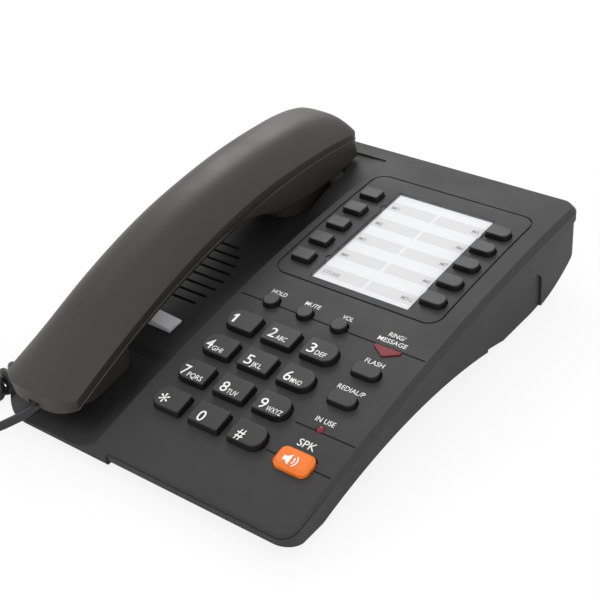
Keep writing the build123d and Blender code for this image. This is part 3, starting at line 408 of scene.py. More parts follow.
def moulded(name, base, roughness, grain_mm, relief, mottle=0.05):
    """Moulded plastic: spark-eroded grain in the bump, soft blotches in the shade and in the gloss."""
    material, nodes, links, shader, place = material_nodes(name)
    blotch = noise(nodes, links, place, BLOTCH_MM, detail=3.0)
    speck = noise(nodes, links, place, grain_mm * SPECK_TIMES)
    shade = nodes.new("ShaderNodeMix")
    shade.data_type = "RGBA"
    shade.inputs["A"].default_value = (*[level * (1 - mottle) for level in base], 1)
    shade.inputs["B"].default_value = (*[min(1, level * (1 + mottle)) for level in base], 1)
    links.new(mapped(nodes, links, speck, 0.0, 1.0), shade.inputs["Factor"])
    links.new(shade.outputs["Result"], shader.inputs["Base Color"])
    gloss = mapped(nodes, links, blotch, roughness - GLOSS_SWING, roughness + GLOSS_SWING)
    links.new(gloss, shader.inputs["Roughness"])
    bump = nodes.new("ShaderNodeBump")
    bump.inputs["Strength"].default_value = relief
    bump.inputs["Distance"].default_value = BUMP_DEPTH_MM * MM
    links.new(noise(nodes, links, place, grain_mm, detail=3.0), bump.inputs["Height"])
    links.new(bump.outputs["Normal"], shader.inputs["Normal"])
    return material


def cover_with_painted_shade(name, base, cradle):
    """Grained cover with painted shade: its colour runs over to the cradle's darker one, the handset's
    shadow, between two lines in X, behind the rim in Y.
    """
    material = moulded(name, base, roughness=0.62, grain_mm=0.45, relief=0.35)
    nodes = material.node_tree.nodes
    links = material.node_tree.links
    place = nodes.new("ShaderNodeSeparateXYZ")
    links.new(nodes.new("ShaderNodeTexCoord").outputs["Object"], place.inputs["Vector"])
    both = nodes.new("ShaderNodeMath")
    both.operation = "MULTIPLY"
    for axis, socket, (start, end) in zip("XY", both.inputs, (CRADLE_SHADE_EDGE_MM, CRADLE_SHADE_FRONT_MM)):
        share = ranged(nodes, links, place.outputs[axis], start * MM, end * MM)
        links.new(share, socket)
    # Painted shade left of the cradle's edge and behind the front rim, where the handset shadows the cover
    tint_base(material, both.outputs["Value"], cradle, "B", "A")
    return material


def key_with_painted_wall_shade(name, top, wall, roughness):
    """Key with a grey face and painted shade on its walls: the painted shade follows the upward part of the
    normal.
    """
    material = moulded(name, top, roughness, grain_mm=0.35, relief=0.1)
    nodes = material.node_tree.nodes
    links = material.node_tree.links
    facing = nodes.new("ShaderNodeSeparateXYZ")
    links.new(nodes.new("ShaderNodeTexCoord").outputs["Normal"], facing.inputs["Vector"])
    rise = ranged(nodes, links, facing.outputs["Z"], *KEY_FACE_NORMALS)
    # Painted shade on the walls, darker where the key faces less upward
    tint_base(material, rise, wall, "A", "B")
    return material


def glazing(name, base, transmission, roughness, alpha=1.0):
    """Clear or tinted moulded plastic with faint flow marks."""
    material, nodes, links, shader, place = material_nodes(name)
    shader.inputs["Base Color"].default_value = (*base, 1)
    shader.inputs["Transmission Weight"].default_value = transmission
    shader.inputs["IOR"].default_value = REFRACTION
    shader.inputs["Alpha"].default_value = alpha
    flow = noise(nodes, links, place, FLOW_MM, detail=1.0)
    links.new(mapped(nodes, links, flow, roughness, roughness + FLOW_SWING), shader.inputs["Roughness"])
    return material


def steel(name):
    """Plated screw steel with turned marks."""
    material, nodes, links, shader, place = material_nodes(name)
    shader.inputs["Base Color"].default_value = (*srgb(176, 176, 172), 1)
    shader.inputs["Metallic"].default_value = 1.0
    marks = noise(nodes, links, place, STEEL_MARK_MM, detail=4.0)
    links.new(mapped(nodes, links, marks, *STEEL_GLOSS), shader.inputs["Roughness"])
    return material


def dress(node, material):
    """Gives every material slot of a CAD node the same material."""
    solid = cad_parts[node]
    if not solid.material_slots:
        solid.data.materials.append(material)
    for slot in solid.material_slots:
        slot.material = material


def on_panel(x_mm, s_mm, lift_mm):
    """Points over the panel: s is an arc length, so the angle from the crest is CREST_ANGLE - s / R."""
    x_mm, s_mm, lift_mm = np.broadcast_arrays(x_mm, s_mm, lift_mm)
    angle = CREST_ANGLE - s_mm / PANEL_RADIUS_MM
    radius = PANEL_RADIUS_MM + lift_mm
    y_mm = PANEL_CREST_Y_MM - radius * np.sin(angle)
    z_mm = PANEL_CREST_Z_MM - PANEL_RADIUS_MM + radius * np.cos(angle)
    return np.stack((x_mm, y_mm, z_mm), axis=-1) * MM


def on_card(x_mm, s_mm, lift_mm):
    """Points over the index card, which is flat: the panel's tangent plane at the card's middle."""
    x_mm, s_mm, lift_mm = np.broadcast_arrays(x_mm, s_mm, lift_mm)
    angle = CREST_ANGLE - CARD_S_MM / PANEL_RADIUS_MM
    across = np.array((1.0, 0.0, 0.0))
    along = np.array((0.0, math.cos(angle), math.sin(angle)))
    up = np.array((0.0, -math.sin(angle), math.cos(angle)))
    middle = on_panel(CARD_X_MM, CARD_S_MM, 0.0)
    steps = (
        (x_mm - CARD_X_MM)[..., None] * across
        + (s_mm - CARD_S_MM)[..., None] * along
        + lift_mm[..., None] * up
    )
    return middle + steps * MM


def add_mesh(name, points, faces, material, smooth=False):
    """Object at the origin with its place in its mesh."""
    mesh = bpy.data.meshes.new(name)
    mesh.from_pydata(np.asarray(points).tolist(), [], [list(map(int, face)) for face in faces])
    mesh.materials.append(material)
    mesh.polygons.foreach_set("use_smooth", np.full(len(mesh.polygons), smooth))
    mesh.update()
    piece = bpy.data.objects.new(name, mesh)
    bpy.context.scene.collection.objects.link(piece)
    return piece


def drawn(curve):
    """Points and faces of the mesh that a curve draws; the curve itself is removed."""
    holder = bpy.data.objects.new(curve.name, curve)
    bpy.context.scene.collection.objects.link(holder)
    bpy.context.view_layer.update()
    mesh = bpy.data.meshes.new_from_object(holder)
    points = np.zeros(len(mesh.vertices) * 3)
    mesh.vertices.foreach_get("co", points)
    faces = [tuple(polygon.vertices) for polygon in mesh.polygons]
    bpy.data.objects.remove(holder)
    bpy.data.meshes.remove(mesh)
    bpy.data.curves.remove(curve)
    return points.reshape(-1, 3), faces


def solid_letters(words, weight=0.0):
    """Points and faces of a word one unit in font size, from Blender's own font."""
    curve = bpy.data.curves.new("letters", "FONT")
    curve.body = words
    curve.resolution_u = 3
    curve.extrude = 0.5
    curve.offset = weight
    return drawn(curve)


CAPITAL_SHARE = float(np.ptp(solid_letters("H")[0][:, 1]))


def printed(name, labels, material, carrier, thickness_mm, wrap=on_panel):
    """One mesh of words on the panel or on key tops.

    The letters of each label are scaled to its capital height, squeezed to its width, set with
    their left edge, middle or right edge at x and their baseline at s, and laid at its lift on the
    panel's cylinder or the flat card.
    """
    points = []
    faces = []
    count = 0
    for label in labels:
        flat, word_faces = solid_letters(label.words, LETTER_WEIGHT)
        scale = label.height / CAPITAL_SHARE
        left = flat[:, 0].min()
        reach = np.ptp(flat[:, 0])
        stretch = label.width / reach
        start = {"left": 0.0, "middle": 0.5, "right": 1.0}[label.align] * reach * stretch
        across = label.x - start + (flat[:, 0] - left) * stretch
        along = label.s + flat[:, 1] * scale
        up = label.lift + (flat[:, 2] + LETTER_SINK) * thickness_mm
        points.append(wrap(across, along, up))
        faces += [tuple(index + count for index in face) for face in word_faces]
        count += len(flat)
    piece = add_mesh(name, np.concatenate(points), faces, material)
    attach(piece, carrier)
    return piece


def plates(name, outlines, lift_mm, thickness_mm, material, carrier, wrap=on_panel):
    """Thin closed plates on the panel or the card, one for each outline of (x, s) points turning left."""
    points = []
    faces = []
    count = 0
    for outline in outlines:
        flat = np.asarray(outline, float)
        size = len(flat)
        top = wrap(flat[:, 0], flat[:, 1], lift_mm + thickness_mm)
        low = wrap(flat[:, 0], flat[:, 1], lift_mm - thickness_mm)
        points += [top, low]
        ring = np.arange(size)
        faces.append(tuple(count + ring))
        faces.append(tuple(count + size + ring[::-1]))
        following = np.roll(ring, -1)
        faces += list(
            zip(count + ring, count + size + ring, count + size + following, count + following)
        )
        count += 2 * size
    piece = add_mesh(name, np.concatenate(points), faces, material)
    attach(piece, carrier)
    return piece


def arc_points(x, s, radius, start, end, count):
    """Points of an arc on the panel, angles in degrees."""
    angle = np.radians(np.linspace(start, end, count))
    return np.stack((x + radius * np.cos(angle), s + radius * np.sin(angle)), axis=-1)


def helix_points():
    """Control points of the coil: a circle in X and Z that moves one pitch along Y at each turn.

    A quadratic spline runs inside its control points by (3 + cos step) / 4, so they lie that much wider.
    """
    step = 2 * math.pi / COIL_POINTS_PER_TURN
    turn = np.arange(0, COIL_TURNS * COIL_POINTS_PER_TURN + 1) / COIL_POINTS_PER_TURN
    radius = COIL_RADIUS_MM / ((3 + math.cos(step)) / 4)
    angle = 2 * math.pi * turn
    return np.stack(
        (
            COIL_X_MM + radius * np.sin(angle),
            COIL_FRONT_Y_MM + COIL_PITCH_MM * turn,
            COIL_Z_MM - radius * np.cos(angle),
        ),
        axis=-1,
    )


def spline_line(points_mm, resolution):
    """Points of the NURBS line whose control points these are."""
    curve = bpy.data.curves.new("route", "CURVE")
    curve.dimensions = "3D"
    curve.resolution_u = resolution
    spline = curve.splines.new("NURBS")
    spline.points.add(len(points_mm) - 1)
    four = np.concatenate((np.asarray(points_mm) * MM, np.ones((len(points_mm), 1))), axis=1)
    spline.points.foreach_set("co", four.ravel())
    spline.order_u = 3
    spline.use_endpoint_u = True
    line, _ = drawn(curve)
    keep = np.ones(len(line), bool)
    keep[1:] = np.linalg.norm(np.diff(line, axis=0), axis=1) > SAME_POINT
    return line[keep]


def carried_frames(line):
    """Tangents and two crosswise directions along a line, carried on without twist.

    Each crosswise direction is the one before it with its part along the new tangent taken out.
    """
    tangent = np.gradient(line, axis=0)
    tangent /= np.linalg.norm(tangent, axis=1)[:, None]
    side = np.zeros_like(tangent)
    side[0] = np.cross(tangent[0], np.eye(3)[np.argmin(np.abs(tangent[0]))])
    for index in range(1, len(line)):
        side[index] = side[index - 1] - tangent[index] * (side[index - 1] @ tangent[index])
        side[index] /= np.linalg.norm(side[index])
    side /= np.linalg.norm(side, axis=1)[:, None]
    return tangent, side, np.cross(tangent, side)


def tube_mesh(name, line, radii, material, sides):
    """Closed tube: a circle of each radius carried square to the line, capped at both ends."""
    _, side, up = carried_frames(line)
    angle = np.linspace(0, 2 * math.pi, sides, endpoint=False)
    circle = np.cos(angle)[None, :, None] * side[:, None] + np.sin(angle)[None, :, None] * up[:, None]
    points = (line[:, None] + circle * np.asarray(radii)[:, None, None]).reshape(-1, 3)
    row = np.arange(len(line) - 1)[:, None] * sides
    column = np.arange(sides)[None, :]
    following = (column + 1) % sides
    quads = np.stack(
        (row + column, row + following, row + sides + following, row + sides + column), axis=-1
    ).reshape(-1, 4)
    faces = list(quads)
    faces.append(np.arange(sides)[::-1])
    faces.append(np.arange(sides) + sides * (len(line) - 1))
    return add_mesh(name, points, faces, material, smooth=True)


def on_handset(x_mm, u_mm, w_mm):
    """Points of the handset: x across from its middle, u and w turned by its tilt."""
    x_mm, u_mm, w_mm = np.broadcast_arrays(x_mm, u_mm, w_mm)
    middle_x, middle_y, middle_z = HANDSET_MIDDLE_MM
    y_mm = middle_y + u_mm * math.cos(HANDSET_TILT) - w_mm * math.sin(HANDSET_TILT)
    z_mm = middle_z + u_mm * math.sin(HANDSET_TILT) + w_mm * math.cos(HANDSET_TILT)
    return np.stack((middle_x + x_mm, y_mm, z_mm), axis=-1) * MM


def through(table, at):
    """Smooth curve through a table: cubic spans whose end slopes are the table's differences."""
    place, value = np.array(table).T
    slope = np.gradient(value, place)
    index = np.clip(np.searchsorted(place, at) - 1, 0, len(place) - 2)
    span = place[index + 1] - place[index]
    t = (at - place[index]) / span
    starting = value[index] * (1 + 2 * t) * (1 - t) ** 2 + span * slope[index] * t * (1 - t) ** 2
    ending = value[index + 1] * t**2 * (3 - 2 * t) + span * slope[index + 1] * t**2 * (t - 1)
    return starting + ending


def smooth_step(start, end, at):
    """Smooth step from 0 at the start to 1 at the end."""
    t = np.clip((at - start) / (end - start), 0, 1)
    return t**2 * (3 - 2 * t)


def stepped(table, at):
    """Curve through a table by smooth steps, level at each of its places."""
    place, value = np.array(table).T
    index = np.clip(np.searchsorted(place, at) - 1, 0, len(place) - 2)
    return value[index] + (value[index + 1] - value[index]) * smooth_step(place[index], place[index + 1], at)


def parting_height(u_mm):
    """Height of the shells' parting line: a parabola of the arch's height, skewed to the ear."""
    share = u_mm / HANDSET_HALF_LENGTH_MM
    return HANDSET_ARCH_MM * (1 - share**2) * (1 + HANDSET_ARCH_SKEW * share)


def handset_half_width(u_mm):
    """Half width: the waist plus a parabola, less a round corner towards the ear end."""
    share = u_mm / HANDSET_HALF_LENGTH_MM
    into_corner = np.clip(u_mm - HANDSET_HALF_LENGTH_MM + HANDSET_CORNER_MM, 0, HANDSET_CORNER_MM)
    corner = HANDSET_CORNER_MM - np.sqrt(HANDSET_CORNER_MM**2 - into_corner**2)
    return HANDSET_WAIST_MM + (HANDSET_HALF_WIDTH_MM - HANDSET_WAIST_MM) * share**2 - corner


def crown_height(u_mm, q):
    """Height of the cap: from the crease up to the crown as one less |q| to a power."""
    crease = parting_height(u_mm) + through(CREASE_MM, u_mm)
    return crease + (through(CROWN_MM, u_mm) - crease) * (1 - np.abs(q) ** CROWN_POWER)


def stations(start, even_end, end, crowd, crowd_from, counts):
    """Places along the handset: even steps, then steps that shorten towards the end by a sine."""
    turn = np.linspace(crowd_from, 1.0, counts[1]) * math.pi / 2
    return np.concatenate((np.linspace(start, even_end, counts[0]), end - crowd * (1 - np.sin(turn))))


def rim(grid):
    """Border of a grid of points, turning left as seen from above."""
    return np.concatenate((grid[0, :-1], grid[:-1, -1], grid[-1, :0:-1], grid[:0:-1, 0]))


def closed_sheet(top, bottom, rings=()):
    """Points and faces of a piece between two grids, whose edge runs down over rings of points."""
    rows, columns = top.shape[:2]
    numbers = np.arange(rows * columns).reshape(rows, columns)
    quads = np.stack(
        (numbers[:-1, :-1], numbers[:-1, 1:], numbers[1:, 1:], numbers[1:, :-1]), axis=-1
    ).reshape(-1, 4)
    edge = rim(numbers)
    loops = [edge]
    for step in range(len(rings)):
        loops.append(2 * numbers.size + step * len(edge) + np.arange(len(edge)))
    loops.append(edge + numbers.size)
    faces = list(quads) + list(quads[:, ::-1] + numbers.size)
    for above, below in zip(loops, loops[1:]):
        faces += list(zip(above, below, np.roll(below, -1), np.roll(above, -1)))
    return np.concatenate((top.reshape(-1, 3), bottom.reshape(-1, 3), *rings)), faces


def handset_piece(name, points, faces):
    """Smooth piece in the handset's plastic, sharp at its corners, from points of x, u and w."""
    satin = bpy.data.materials["satin_handset"]
    piece = add_mesh(name, on_handset(*points.T), faces, satin, smooth=True)
    piece.data.set_sharp_from_angle(angle=SHARP_CORNER)
    return piece


class PHONE_OT_handset_cap(Operator):
    """Handset's top shell: crisp crease along both sides, bulging mouth end, low skirt over the seam"""

    bl_idname = "phone.handset_cap"
    bl_label = "Handset cap"

    def execute(self, context):
        along = stations(
            MOUTH_END_MM, CAP_EVEN_END_MM, HANDSET_HALF_LENGTH_MM, CAP_CROWD_MM, CAP_CROWD_FROM, CAP_COUNTS
        )
        notch = np.array(NOTCH_HALF_MM) / HANDSET_HALF_WIDTH_MM
        across = np.sin(np.linspace(-1, 1, CAP_ACROSS_COUNT) * math.pi / 2)
        across = np.sort(np.concatenate((across, notch, -notch)))
        s, q = np.meshgrid(along, across, indexing="ij")

        bulge = MOUTH_BULGE_MM * np.abs(q) ** MOUTH_POWER
        u = s + bulge * np.clip(1 - (s - MOUTH_END_MM) / MOUTH_FADE_MM, 0, 1)
        x = q * (handset_half_width(u) + CAP_PROUD_MM)
        top = np.stack((x, u, crown_height(u, q)), axis=-1)

        ends = (MOUTH_END_MM, HANDSET_HALF_LENGTH_MM)
        inner_u = np.interp(s, ends, (CAP_MOUTH_INNER_MM, CAP_EAR_INNER_MM))
        inner_x = q * (handset_half_width(inner_u) - CAP_LIP_MM)
        ceiling = np.stack((inner_x, inner_u, crown_height(inner_u, q) - CAP_WALL_MM), axis=-1)

        crease = rim(top)
        inside = rim(ceiling)
        at_mouth = np.arange(len(crease)) < len(across)
        clear = np.interp(np.abs(crease[:, 0]), NOTCH_HALF_MM, (NOTCH_RISE_MM, 0.0)) * at_mouth
        seam = parting_height(crease[:, 1]) - CAP_SEAM_MM + clear
        upper = crease.copy()
        upper[:, 2] = parting_height(crease[:, 1]) - CAP_RIM_MM
        taper = 1 - through(SKIRT_TAPER_MM, crease[:, 1]) / HANDSET_HALF_WIDTH_MM
        lower = np.stack((crease[:, 0] * taper, crease[:, 1], seam + CAP_BEAD_MM), axis=-1)
        bead = lower * (1 + CAP_BEAD_MM / HANDSET_HALF_WIDTH_MM, 1, 1)
        bead[:, 2] = seam
        under = np.stack((inside[:, 0], inside[:, 1], seam), axis=-1)

        cap = handset_piece("handset_cap", *closed_sheet(top, ceiling, (upper, lower, bead, under)))
        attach(cap, "handset")
        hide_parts("handset_top_shell")
        return {"FINISHED"}


class PHONE_OT_ear_sides(Operator):
    """Upright sides round the handset's ear end, down to the bottom shell's own depth"""

    bl_idname = "phone.ear_sides"
    bl_label = "Ear sides"

    def execute(self, context):
        end = HANDSET_HALF_LENGTH_MM - SIDE_INSET_MM
        along = stations(
            SIDE_START_MM, SIDE_EVEN_END_MM, end, SIDE_CROWD_MM, SIDE_CROWD_FROM, SIDE_COUNTS
        )
        half = handset_half_width(along) - SIDE_INSET_MM
        across = np.linspace(1, -1, SIDE_END_COUNT)[1:-1] * half[-1]
        x = np.concatenate((half, across, -half[::-1]))
        u = np.concatenate((along, np.full(len(across), along[-1]), along[::-1]))

        share = stepped(((SIDE_START_MM, SIDE_START_SHARE), (SIDE_FULL_MM, 1.0)), u)
        top = parting_height(u) - CAP_SEAM_MM + CAP_BEAD_MM
        bottom = parting_height(u) - stepped(SHELL_DEPTH_MM, u) * share - SIDE_BELOW_MM
        inner_x = x * (1 - SIDE_BAND_MM / HANDSET_HALF_WIDTH_MM)
        inner_u = np.minimum(u, HANDSET_HALF_LENGTH_MM - SIDE_BAND_MM)
        rings = [(x, u, top)]
        for width, back, rise in SIDE_EDGE:
            rings.append((x * width, np.minimum(u, along[-1] - back), bottom + rise))
        rings += [(inner_x, inner_u, bottom), (inner_x, inner_u, top)]

        count = len(x)
        number = np.arange(count)
        faces = []
        for ring in range(len(rings)):
            above = number + ring * count
            below = number + (ring + 1) % len(rings) * count
            faces += list(zip(above[:-1], below[:-1], below[1:], above[1:]))
        starts = np.arange(len(rings)) * count
        faces += [tuple(starts[::-1]), tuple(starts + count - 1)]
        points = np.concatenate([np.stack(ring, axis=-1) for ring in rings])
        sides = handset_piece("ear_sides", points, faces)
        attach(sides, "handset")
        return {"FINISHED"}


class PHONE_OT_cradle_bank(Operator):
    """Bank of the cradle beside the ear end: a block whose top sweeps from the ridge down to the handset"""

    bl_idname = "phone.cradle_bank"
    bl_label = "Cradle bank"

    def execute(self, context):
        x, y = np.meshgrid(
            np.linspace(*BANK_X_MM, BANK_COUNTS[0]), np.linspace(*BANK_Y_MM, BANK_COUNTS[1])
        )
        share = (x - BANK_X_MM[0]) / (BANK_CREST_X_MM - BANK_X_MM[0])
        x = x - BANK_UNDERCUT_REACH_MM * (1 - share) * smooth_step(*BANK_UNDERCUT_MM, y)
        ridge = PANEL_CREST_Z_MM - (PANEL_CREST_Y_MM - y) ** 2 / (2 * PANEL_RADIUS_MM) - BANK_TUCK_MM
        low = through(BANK_HEIGHT_MM, y)
        low = low + (ridge - low) * smooth_step(*BANK_MERGE_MM, y)
        top = np.stack((x, y, low + (ridge - low) * share**BANK_SWEEP_POWER), axis=-1)
        foot = np.stack((x, y, np.full_like(x, BANK_FOOT_MM)), axis=-1)
        points, faces = closed_sheet(top, foot)
        # The cover's material, with the cradle's painted shade
        cover = bpy.data.materials["grained_cover_painted_shade"]
        bank = add_mesh("cradle_bank", points * MM, faces, cover, smooth=True)
        bank.data.set_sharp_from_angle(angle=BANK_SHARP_CORNER)
        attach(bank, "base")
        return {"FINISHED"}


class PHONE_OT_camera(Operator):
    """Camera at the picture's viewing angle"""

    bl_idname = "phone.camera"
    bl_label = "Camera"

    def execute(self, context):
        forward = np.array(
            (
                -math.sin(CAMERA_YAW) * math.cos(CAMERA_DOWN),
                math.cos(CAMERA_YAW) * math.cos(CAMERA_DOWN),
                -math.sin(CAMERA_DOWN),
            )
        )
        level = np.cross(forward, (0, 0, 1))
        level /= np.linalg.norm(level)
        raised = np.cross(level, forward)
        right = level * math.cos(CAMERA_ROLL) + raised * math.sin(CAMERA_ROLL)
        up = -level * math.sin(CAMERA_ROLL) + raised * math.cos(CAMERA_ROLL)
        lens = bpy.data.cameras.new("picture_camera")
        lens.lens = CAMERA_LENS_MM
        lens.sensor_width = SENSOR_MM
        camera = bpy.data.objects.new("picture_camera", lens)
        context.scene.collection.objects.link(camera)
        turn = Matrix((right, up, -forward)).transposed().to_4x4()
        camera.matrix_world = Matrix.Translation(np.array(CAMERA_PLACE_MM) * MM) @ turn
        context.scene.camera = camera
        return {"FINISHED"}


def plug_boot(name, face_mm, exit_mm, radius, boot_length, jacket):
    """Ribbed sleeve round the cord, from a plug's face towards the cord's first bend."""
    start = np.array(face_mm) * MM
    direction = np.array(exit_mm) * MM - start
    direction /= np.linalg.norm(direction)
    line = start + direction * (np.array(BOOT_SHARES) * boot_length)[:, None]
    return tube_mesh(name, line, radius + np.array(BOOT_SWELLS_MM) * MM, jacket, BOOT_SIDES)


class PHONE_OT_cord(Operator):
    """Curly cord from the handset plug to the base plug, with a boot at each plug"""

    bl_idname = "phone.cord"
    bl_label = "Curly cord"

    def execute(self, context):
        sizes = context.scene.phone_sizes
        radius = sizes.cord_diameter / 2
        tint = context.scene.phone_colours.cord
        jacket = moulded("cord_jacket", tint, roughness=0.38, grain_mm=0.5, relief=0.15)
        lead_line = spline_line(HANDSET_LEAD_MM, LEAD_RESOLUTION)
        lead = tube_mesh("handset_lead", lead_line, np.full(len(lead_line), radius), jacket, LEAD_SIDES)
        route = np.concatenate(((COIL_START_MM,), helix_points(), BASE_LEAD_MM))
        coil_line = spline_line(route, COIL_RESOLUTION)
        coil = tube_mesh("curly_cord", coil_line, np.full(len(coil_line), radius), jacket, COIL_SIDES)
        for name, face, exit_point, body in (
            ("handset_plug_boot", PLUG_FACE_MM, PLUG_EXIT_MM, "handset"),
            ("base_plug_boot", JACK_FACE_MM, JACK_EXIT_MM, "base"),
        ):
            boot = plug_boot(name, face, exit_point, radius, sizes.boot_length, jacket)
            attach(boot, body)
        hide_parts("cord_handset_lead")
        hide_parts("handset_cord_curl", "cord_base_lead")
        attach(coil, "base")
        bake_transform(lead)
        return {"FINISHED"}


class PHONE_OT_finishes(Operator):
    """Materials of the CAD nodes that stay in view"""

    bl_idname = "phone.finishes"
    bl_label = "Finishes"

    def execute(self, context):
        tints = context.scene.phone_colours
        # Cover with the cradle's painted shade, the handset's shadow painted into its colour
        cover = cover_with_painted_shade("grained_cover_painted_shade", tints.cover, tints.cradle)
        tub = moulded("grained_tub", tints.tub, roughness=0.6, grain_mm=0.45, relief=0.3)
        handset = moulded("satin_handset", tints.handset, roughness=0.48, grain_mm=0.3, relief=0.12)
        # Keys with painted shade on their walls
        key = key_with_painted_wall_shade("satin_key", tints.key, tints.key_wall_painted_shade, roughness=0.5)
        orange = moulded("orange_key", tints.speaker, roughness=0.4, grain_mm=0.5, relief=0.08, mottle=0.03)
        hook = moulded("hook_grey", tints.hook, roughness=0.45, grain_mm=0.5, relief=0.1)
        paper = moulded("card_paper", tints.card, roughness=0.7, grain_mm=0.25, relief=0.1, mottle=0.01)
        window = glazing("clear_window", (1, 1, 1), transmission=0.0, roughness=0.08, alpha=0.06)
        red = glazing("red_lens", tints.lens, transmission=0.35, roughness=0.12)
        rubber = moulded("foot_rubber", srgb(28, 28, 28), roughness=0.85, grain_mm=0.6, relief=0.4)
        mat = moulded("membrane_rubber", srgb(170, 170, 168), roughness=0.7, grain_mm=0.6, relief=0.2)
        laminate = moulded("board_laminate", srgb(40, 78, 48), roughness=0.5, grain_mm=0.8, relief=0.2)
        black = moulded("socket_black", srgb(24, 24, 25), roughness=0.45, grain_mm=0.4, relief=0.15)
        plug = glazing("plug_clear", srgb(200, 205, 208), transmission=0.6, roughness=0.15)
        metal = steel("screw_steel")
        keys = [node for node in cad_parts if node.startswith("key_") and node != "key_speaker"]
        for material, *nodes in (
            (cover, "base_top_cover"),
            (tub, "base_bottom_cover"),
            (rubber, "rubber_feet"),
            (paper, "index_card"),
            (window, "index_cover"),
            (red, "ring_indicator_lens", "in_use_led"),
            (laminate, "keypad_board", "memory_board", "main_board"),
            (mat, "keypad_membrane", "memory_membrane"),
            (metal, "loudspeaker", "base_screws", "handset_screws", "handset_weight"),
            (black, "line_socket", "base_jack", "hook_switch", "handsfree_microphone"),
            (black, "handset_jack", "handset_microphone", "receiver_capsule"),
            (plug, "base_plug", "handset_plug"),
            (handset, "handset_top_shell", "handset_bottom_shell"),
            (hook, "hook_plunger"),
            (orange, "key_speaker"),
            (key, *keys),
        ):
            for node in nodes:
                dress(node, material)
        return {"FINISHED"}


class PHONE_OT_key_prints(Operator):
    """White digits and letters on the number keys"""

    bl_idname = "phone.key_prints"
    bl_label = "Key prints"

    def execute(self, context):
        sizes = context.scene.phone_sizes
        tint = context.scene.phone_colours.ink
        ink = moulded("white_ink", tint, roughness=0.5, grain_mm=0.3, relief=0.05, mottle=0.02)
        digit = sizes.digit_height / MM
        letter = sizes.letter_height / MM
        thick = sizes.print_thickness / MM
        top = NUMBER_KEY_TOP_MM
        for s, row in KEY_ROWS_MM:
            for x, (key, mark, letters) in zip(KEY_STARTS_MM, row):
                if key == "1":  # it has an outline of its own, below
                    continue
                tall = digit * (STAR_HEIGHT_SHARE if key == "star" else 1.0)
                base = s - (tall * STAR_DROP_SHARE if key == "star" else 0.0)
                width = MARK_WIDTHS_MM.get(mark, DIGIT_WIDTH_MM)
                labels = [Label(mark, x + KEY_NUDGES_MM.get(key, 0.0), base, tall, width, top, "left")]
                if letters:
                    step, drop = LETTERS_STEP_MM
                    width = LETTERS_WIDTH_MM[len(letters)]
                    labels.append(Label(letters, x + step, s + drop, letter, width, top, "left"))
                printed(f"print_{key}", labels, ink, f"key_{key}", thick)
        one = np.array(ONE_PLACE_MM) + ONE_OUTLINE_MM
        plates("print_1", [one], top + thick / 4, thick / 2, ink, "key_1")
        return {"FINISHED"}


class PHONE_OT_panel_prints(Operator):
    """White words on the panel and the horn mark on the orange key"""

    bl_idname = "phone.panel_prints"
    bl_label = "Panel prints"

    def execute(self, context):
        sizes = context.scene.phone_sizes
        ink = bpy.data.materials["white_ink"]
        height = sizes.label_height / MM
        labels = [Label(words, x, s, height, width, 0.0, "middle") for words, x, s, width in PANEL_WORDS_MM]
        words, x, s, width = SPEAKER_WORD_MM
        labels.append(Label(words, x, s, sizes.speaker_label / MM, width, 0.0, "middle"))
        thick = sizes.print_thickness / MM
        printed("print_panel_words", labels, ink, "base", thick)

        x, s = HORN_PLACE_MM
        outlines = [np.array(HORN_PLACE_MM) + HORN_OUTLINE_MM]
        half = WAVE_HALF_DEGREES
        outside, inside = WAVE_REACH_MM
        for radius in WAVE_RADII_MM:
            outer = arc_points(x + HORN_MOUTH_MM, s, radius + outside, -half, half, WAVE_COUNT)
            inner = arc_points(x + HORN_MOUTH_MM, s, radius + inside, half, -half, WAVE_COUNT)
            outlines.append(np.concatenate((outer, inner)))
        lift = SPEAKER_KEY_TOP_MM + HORN_LIFT_MM
        plates(
            "print_horn", outlines, lift, HORN_HALF_THICKNESS_MM, ink, "key_speaker"
        )
        return {"FINISHED"}


class PHONE_OT_index_prints(Operator):
    """Pale fields and grey lettering printed on the index card"""

    bl_idname = "phone.index_prints"
    bl_label = "Index card prints"

    def execute(self, context):
        tints = context.scene.phone_colours
        paper = bpy.data.materials["card_paper"]
        field = moulded("card_field", tints.field, roughness=0.7, grain_mm=0.25, relief=0.08, mottle=0.01)
        ink = moulded("card_ink", tints.card_ink, roughness=0.6, grain_mm=0.3, relief=0.05, mottle=0.03)
        half_width = CARD_WIDTH_MM / 2
        half_depth = CARD_DEPTH_MM / 2
        corners = np.array(((-1, -1), (1, -1), (1, 1), (-1, 1)))
        sheet = np.array((CARD_X_MM, CARD_S_MM)) + corners * (half_width, half_depth)
        fields = []
        for low, _, _ in CARD_ROWS_MM:
            high = low + CARD_FIELD_HEIGHT_MM
            for left, right in CARD_COLUMNS_MM:
                fields.append([(left, low), (right, low), (right, high), (left, high)])
        words = []
        lift = CARD_TOP_MM + 3 * CARD_SKIN_MM
        for low, *pair in CARD_ROWS_MM:
            for word, (x, rise), align in zip(
                pair, (CARD_LEFT_WORD_MM, CARD_RIGHT_WORD_MM), ("left", "right")
            ):
                width = CARD_WIDE_WORDS_MM.get(word, CARD_WORD_WIDTH_MM)
                words.append(Label(word, x, low + rise, CARD_WORD_HEIGHT_MM, width, lift, align))

        for name, outlines, lift, material in (
            ("card_face", [sheet], CARD_TOP_MM + CARD_SKIN_MM, paper),
            ("card_fields", fields, CARD_TOP_MM + 2 * CARD_SKIN_MM, field),
        ):
            plates(name, outlines, lift, CARD_SKIN_MM / 2, material, "base", on_card)
        printed("card_words", words, ink, "base", CARD_SKIN_MM, on_card)
        return {"FINISHED"}


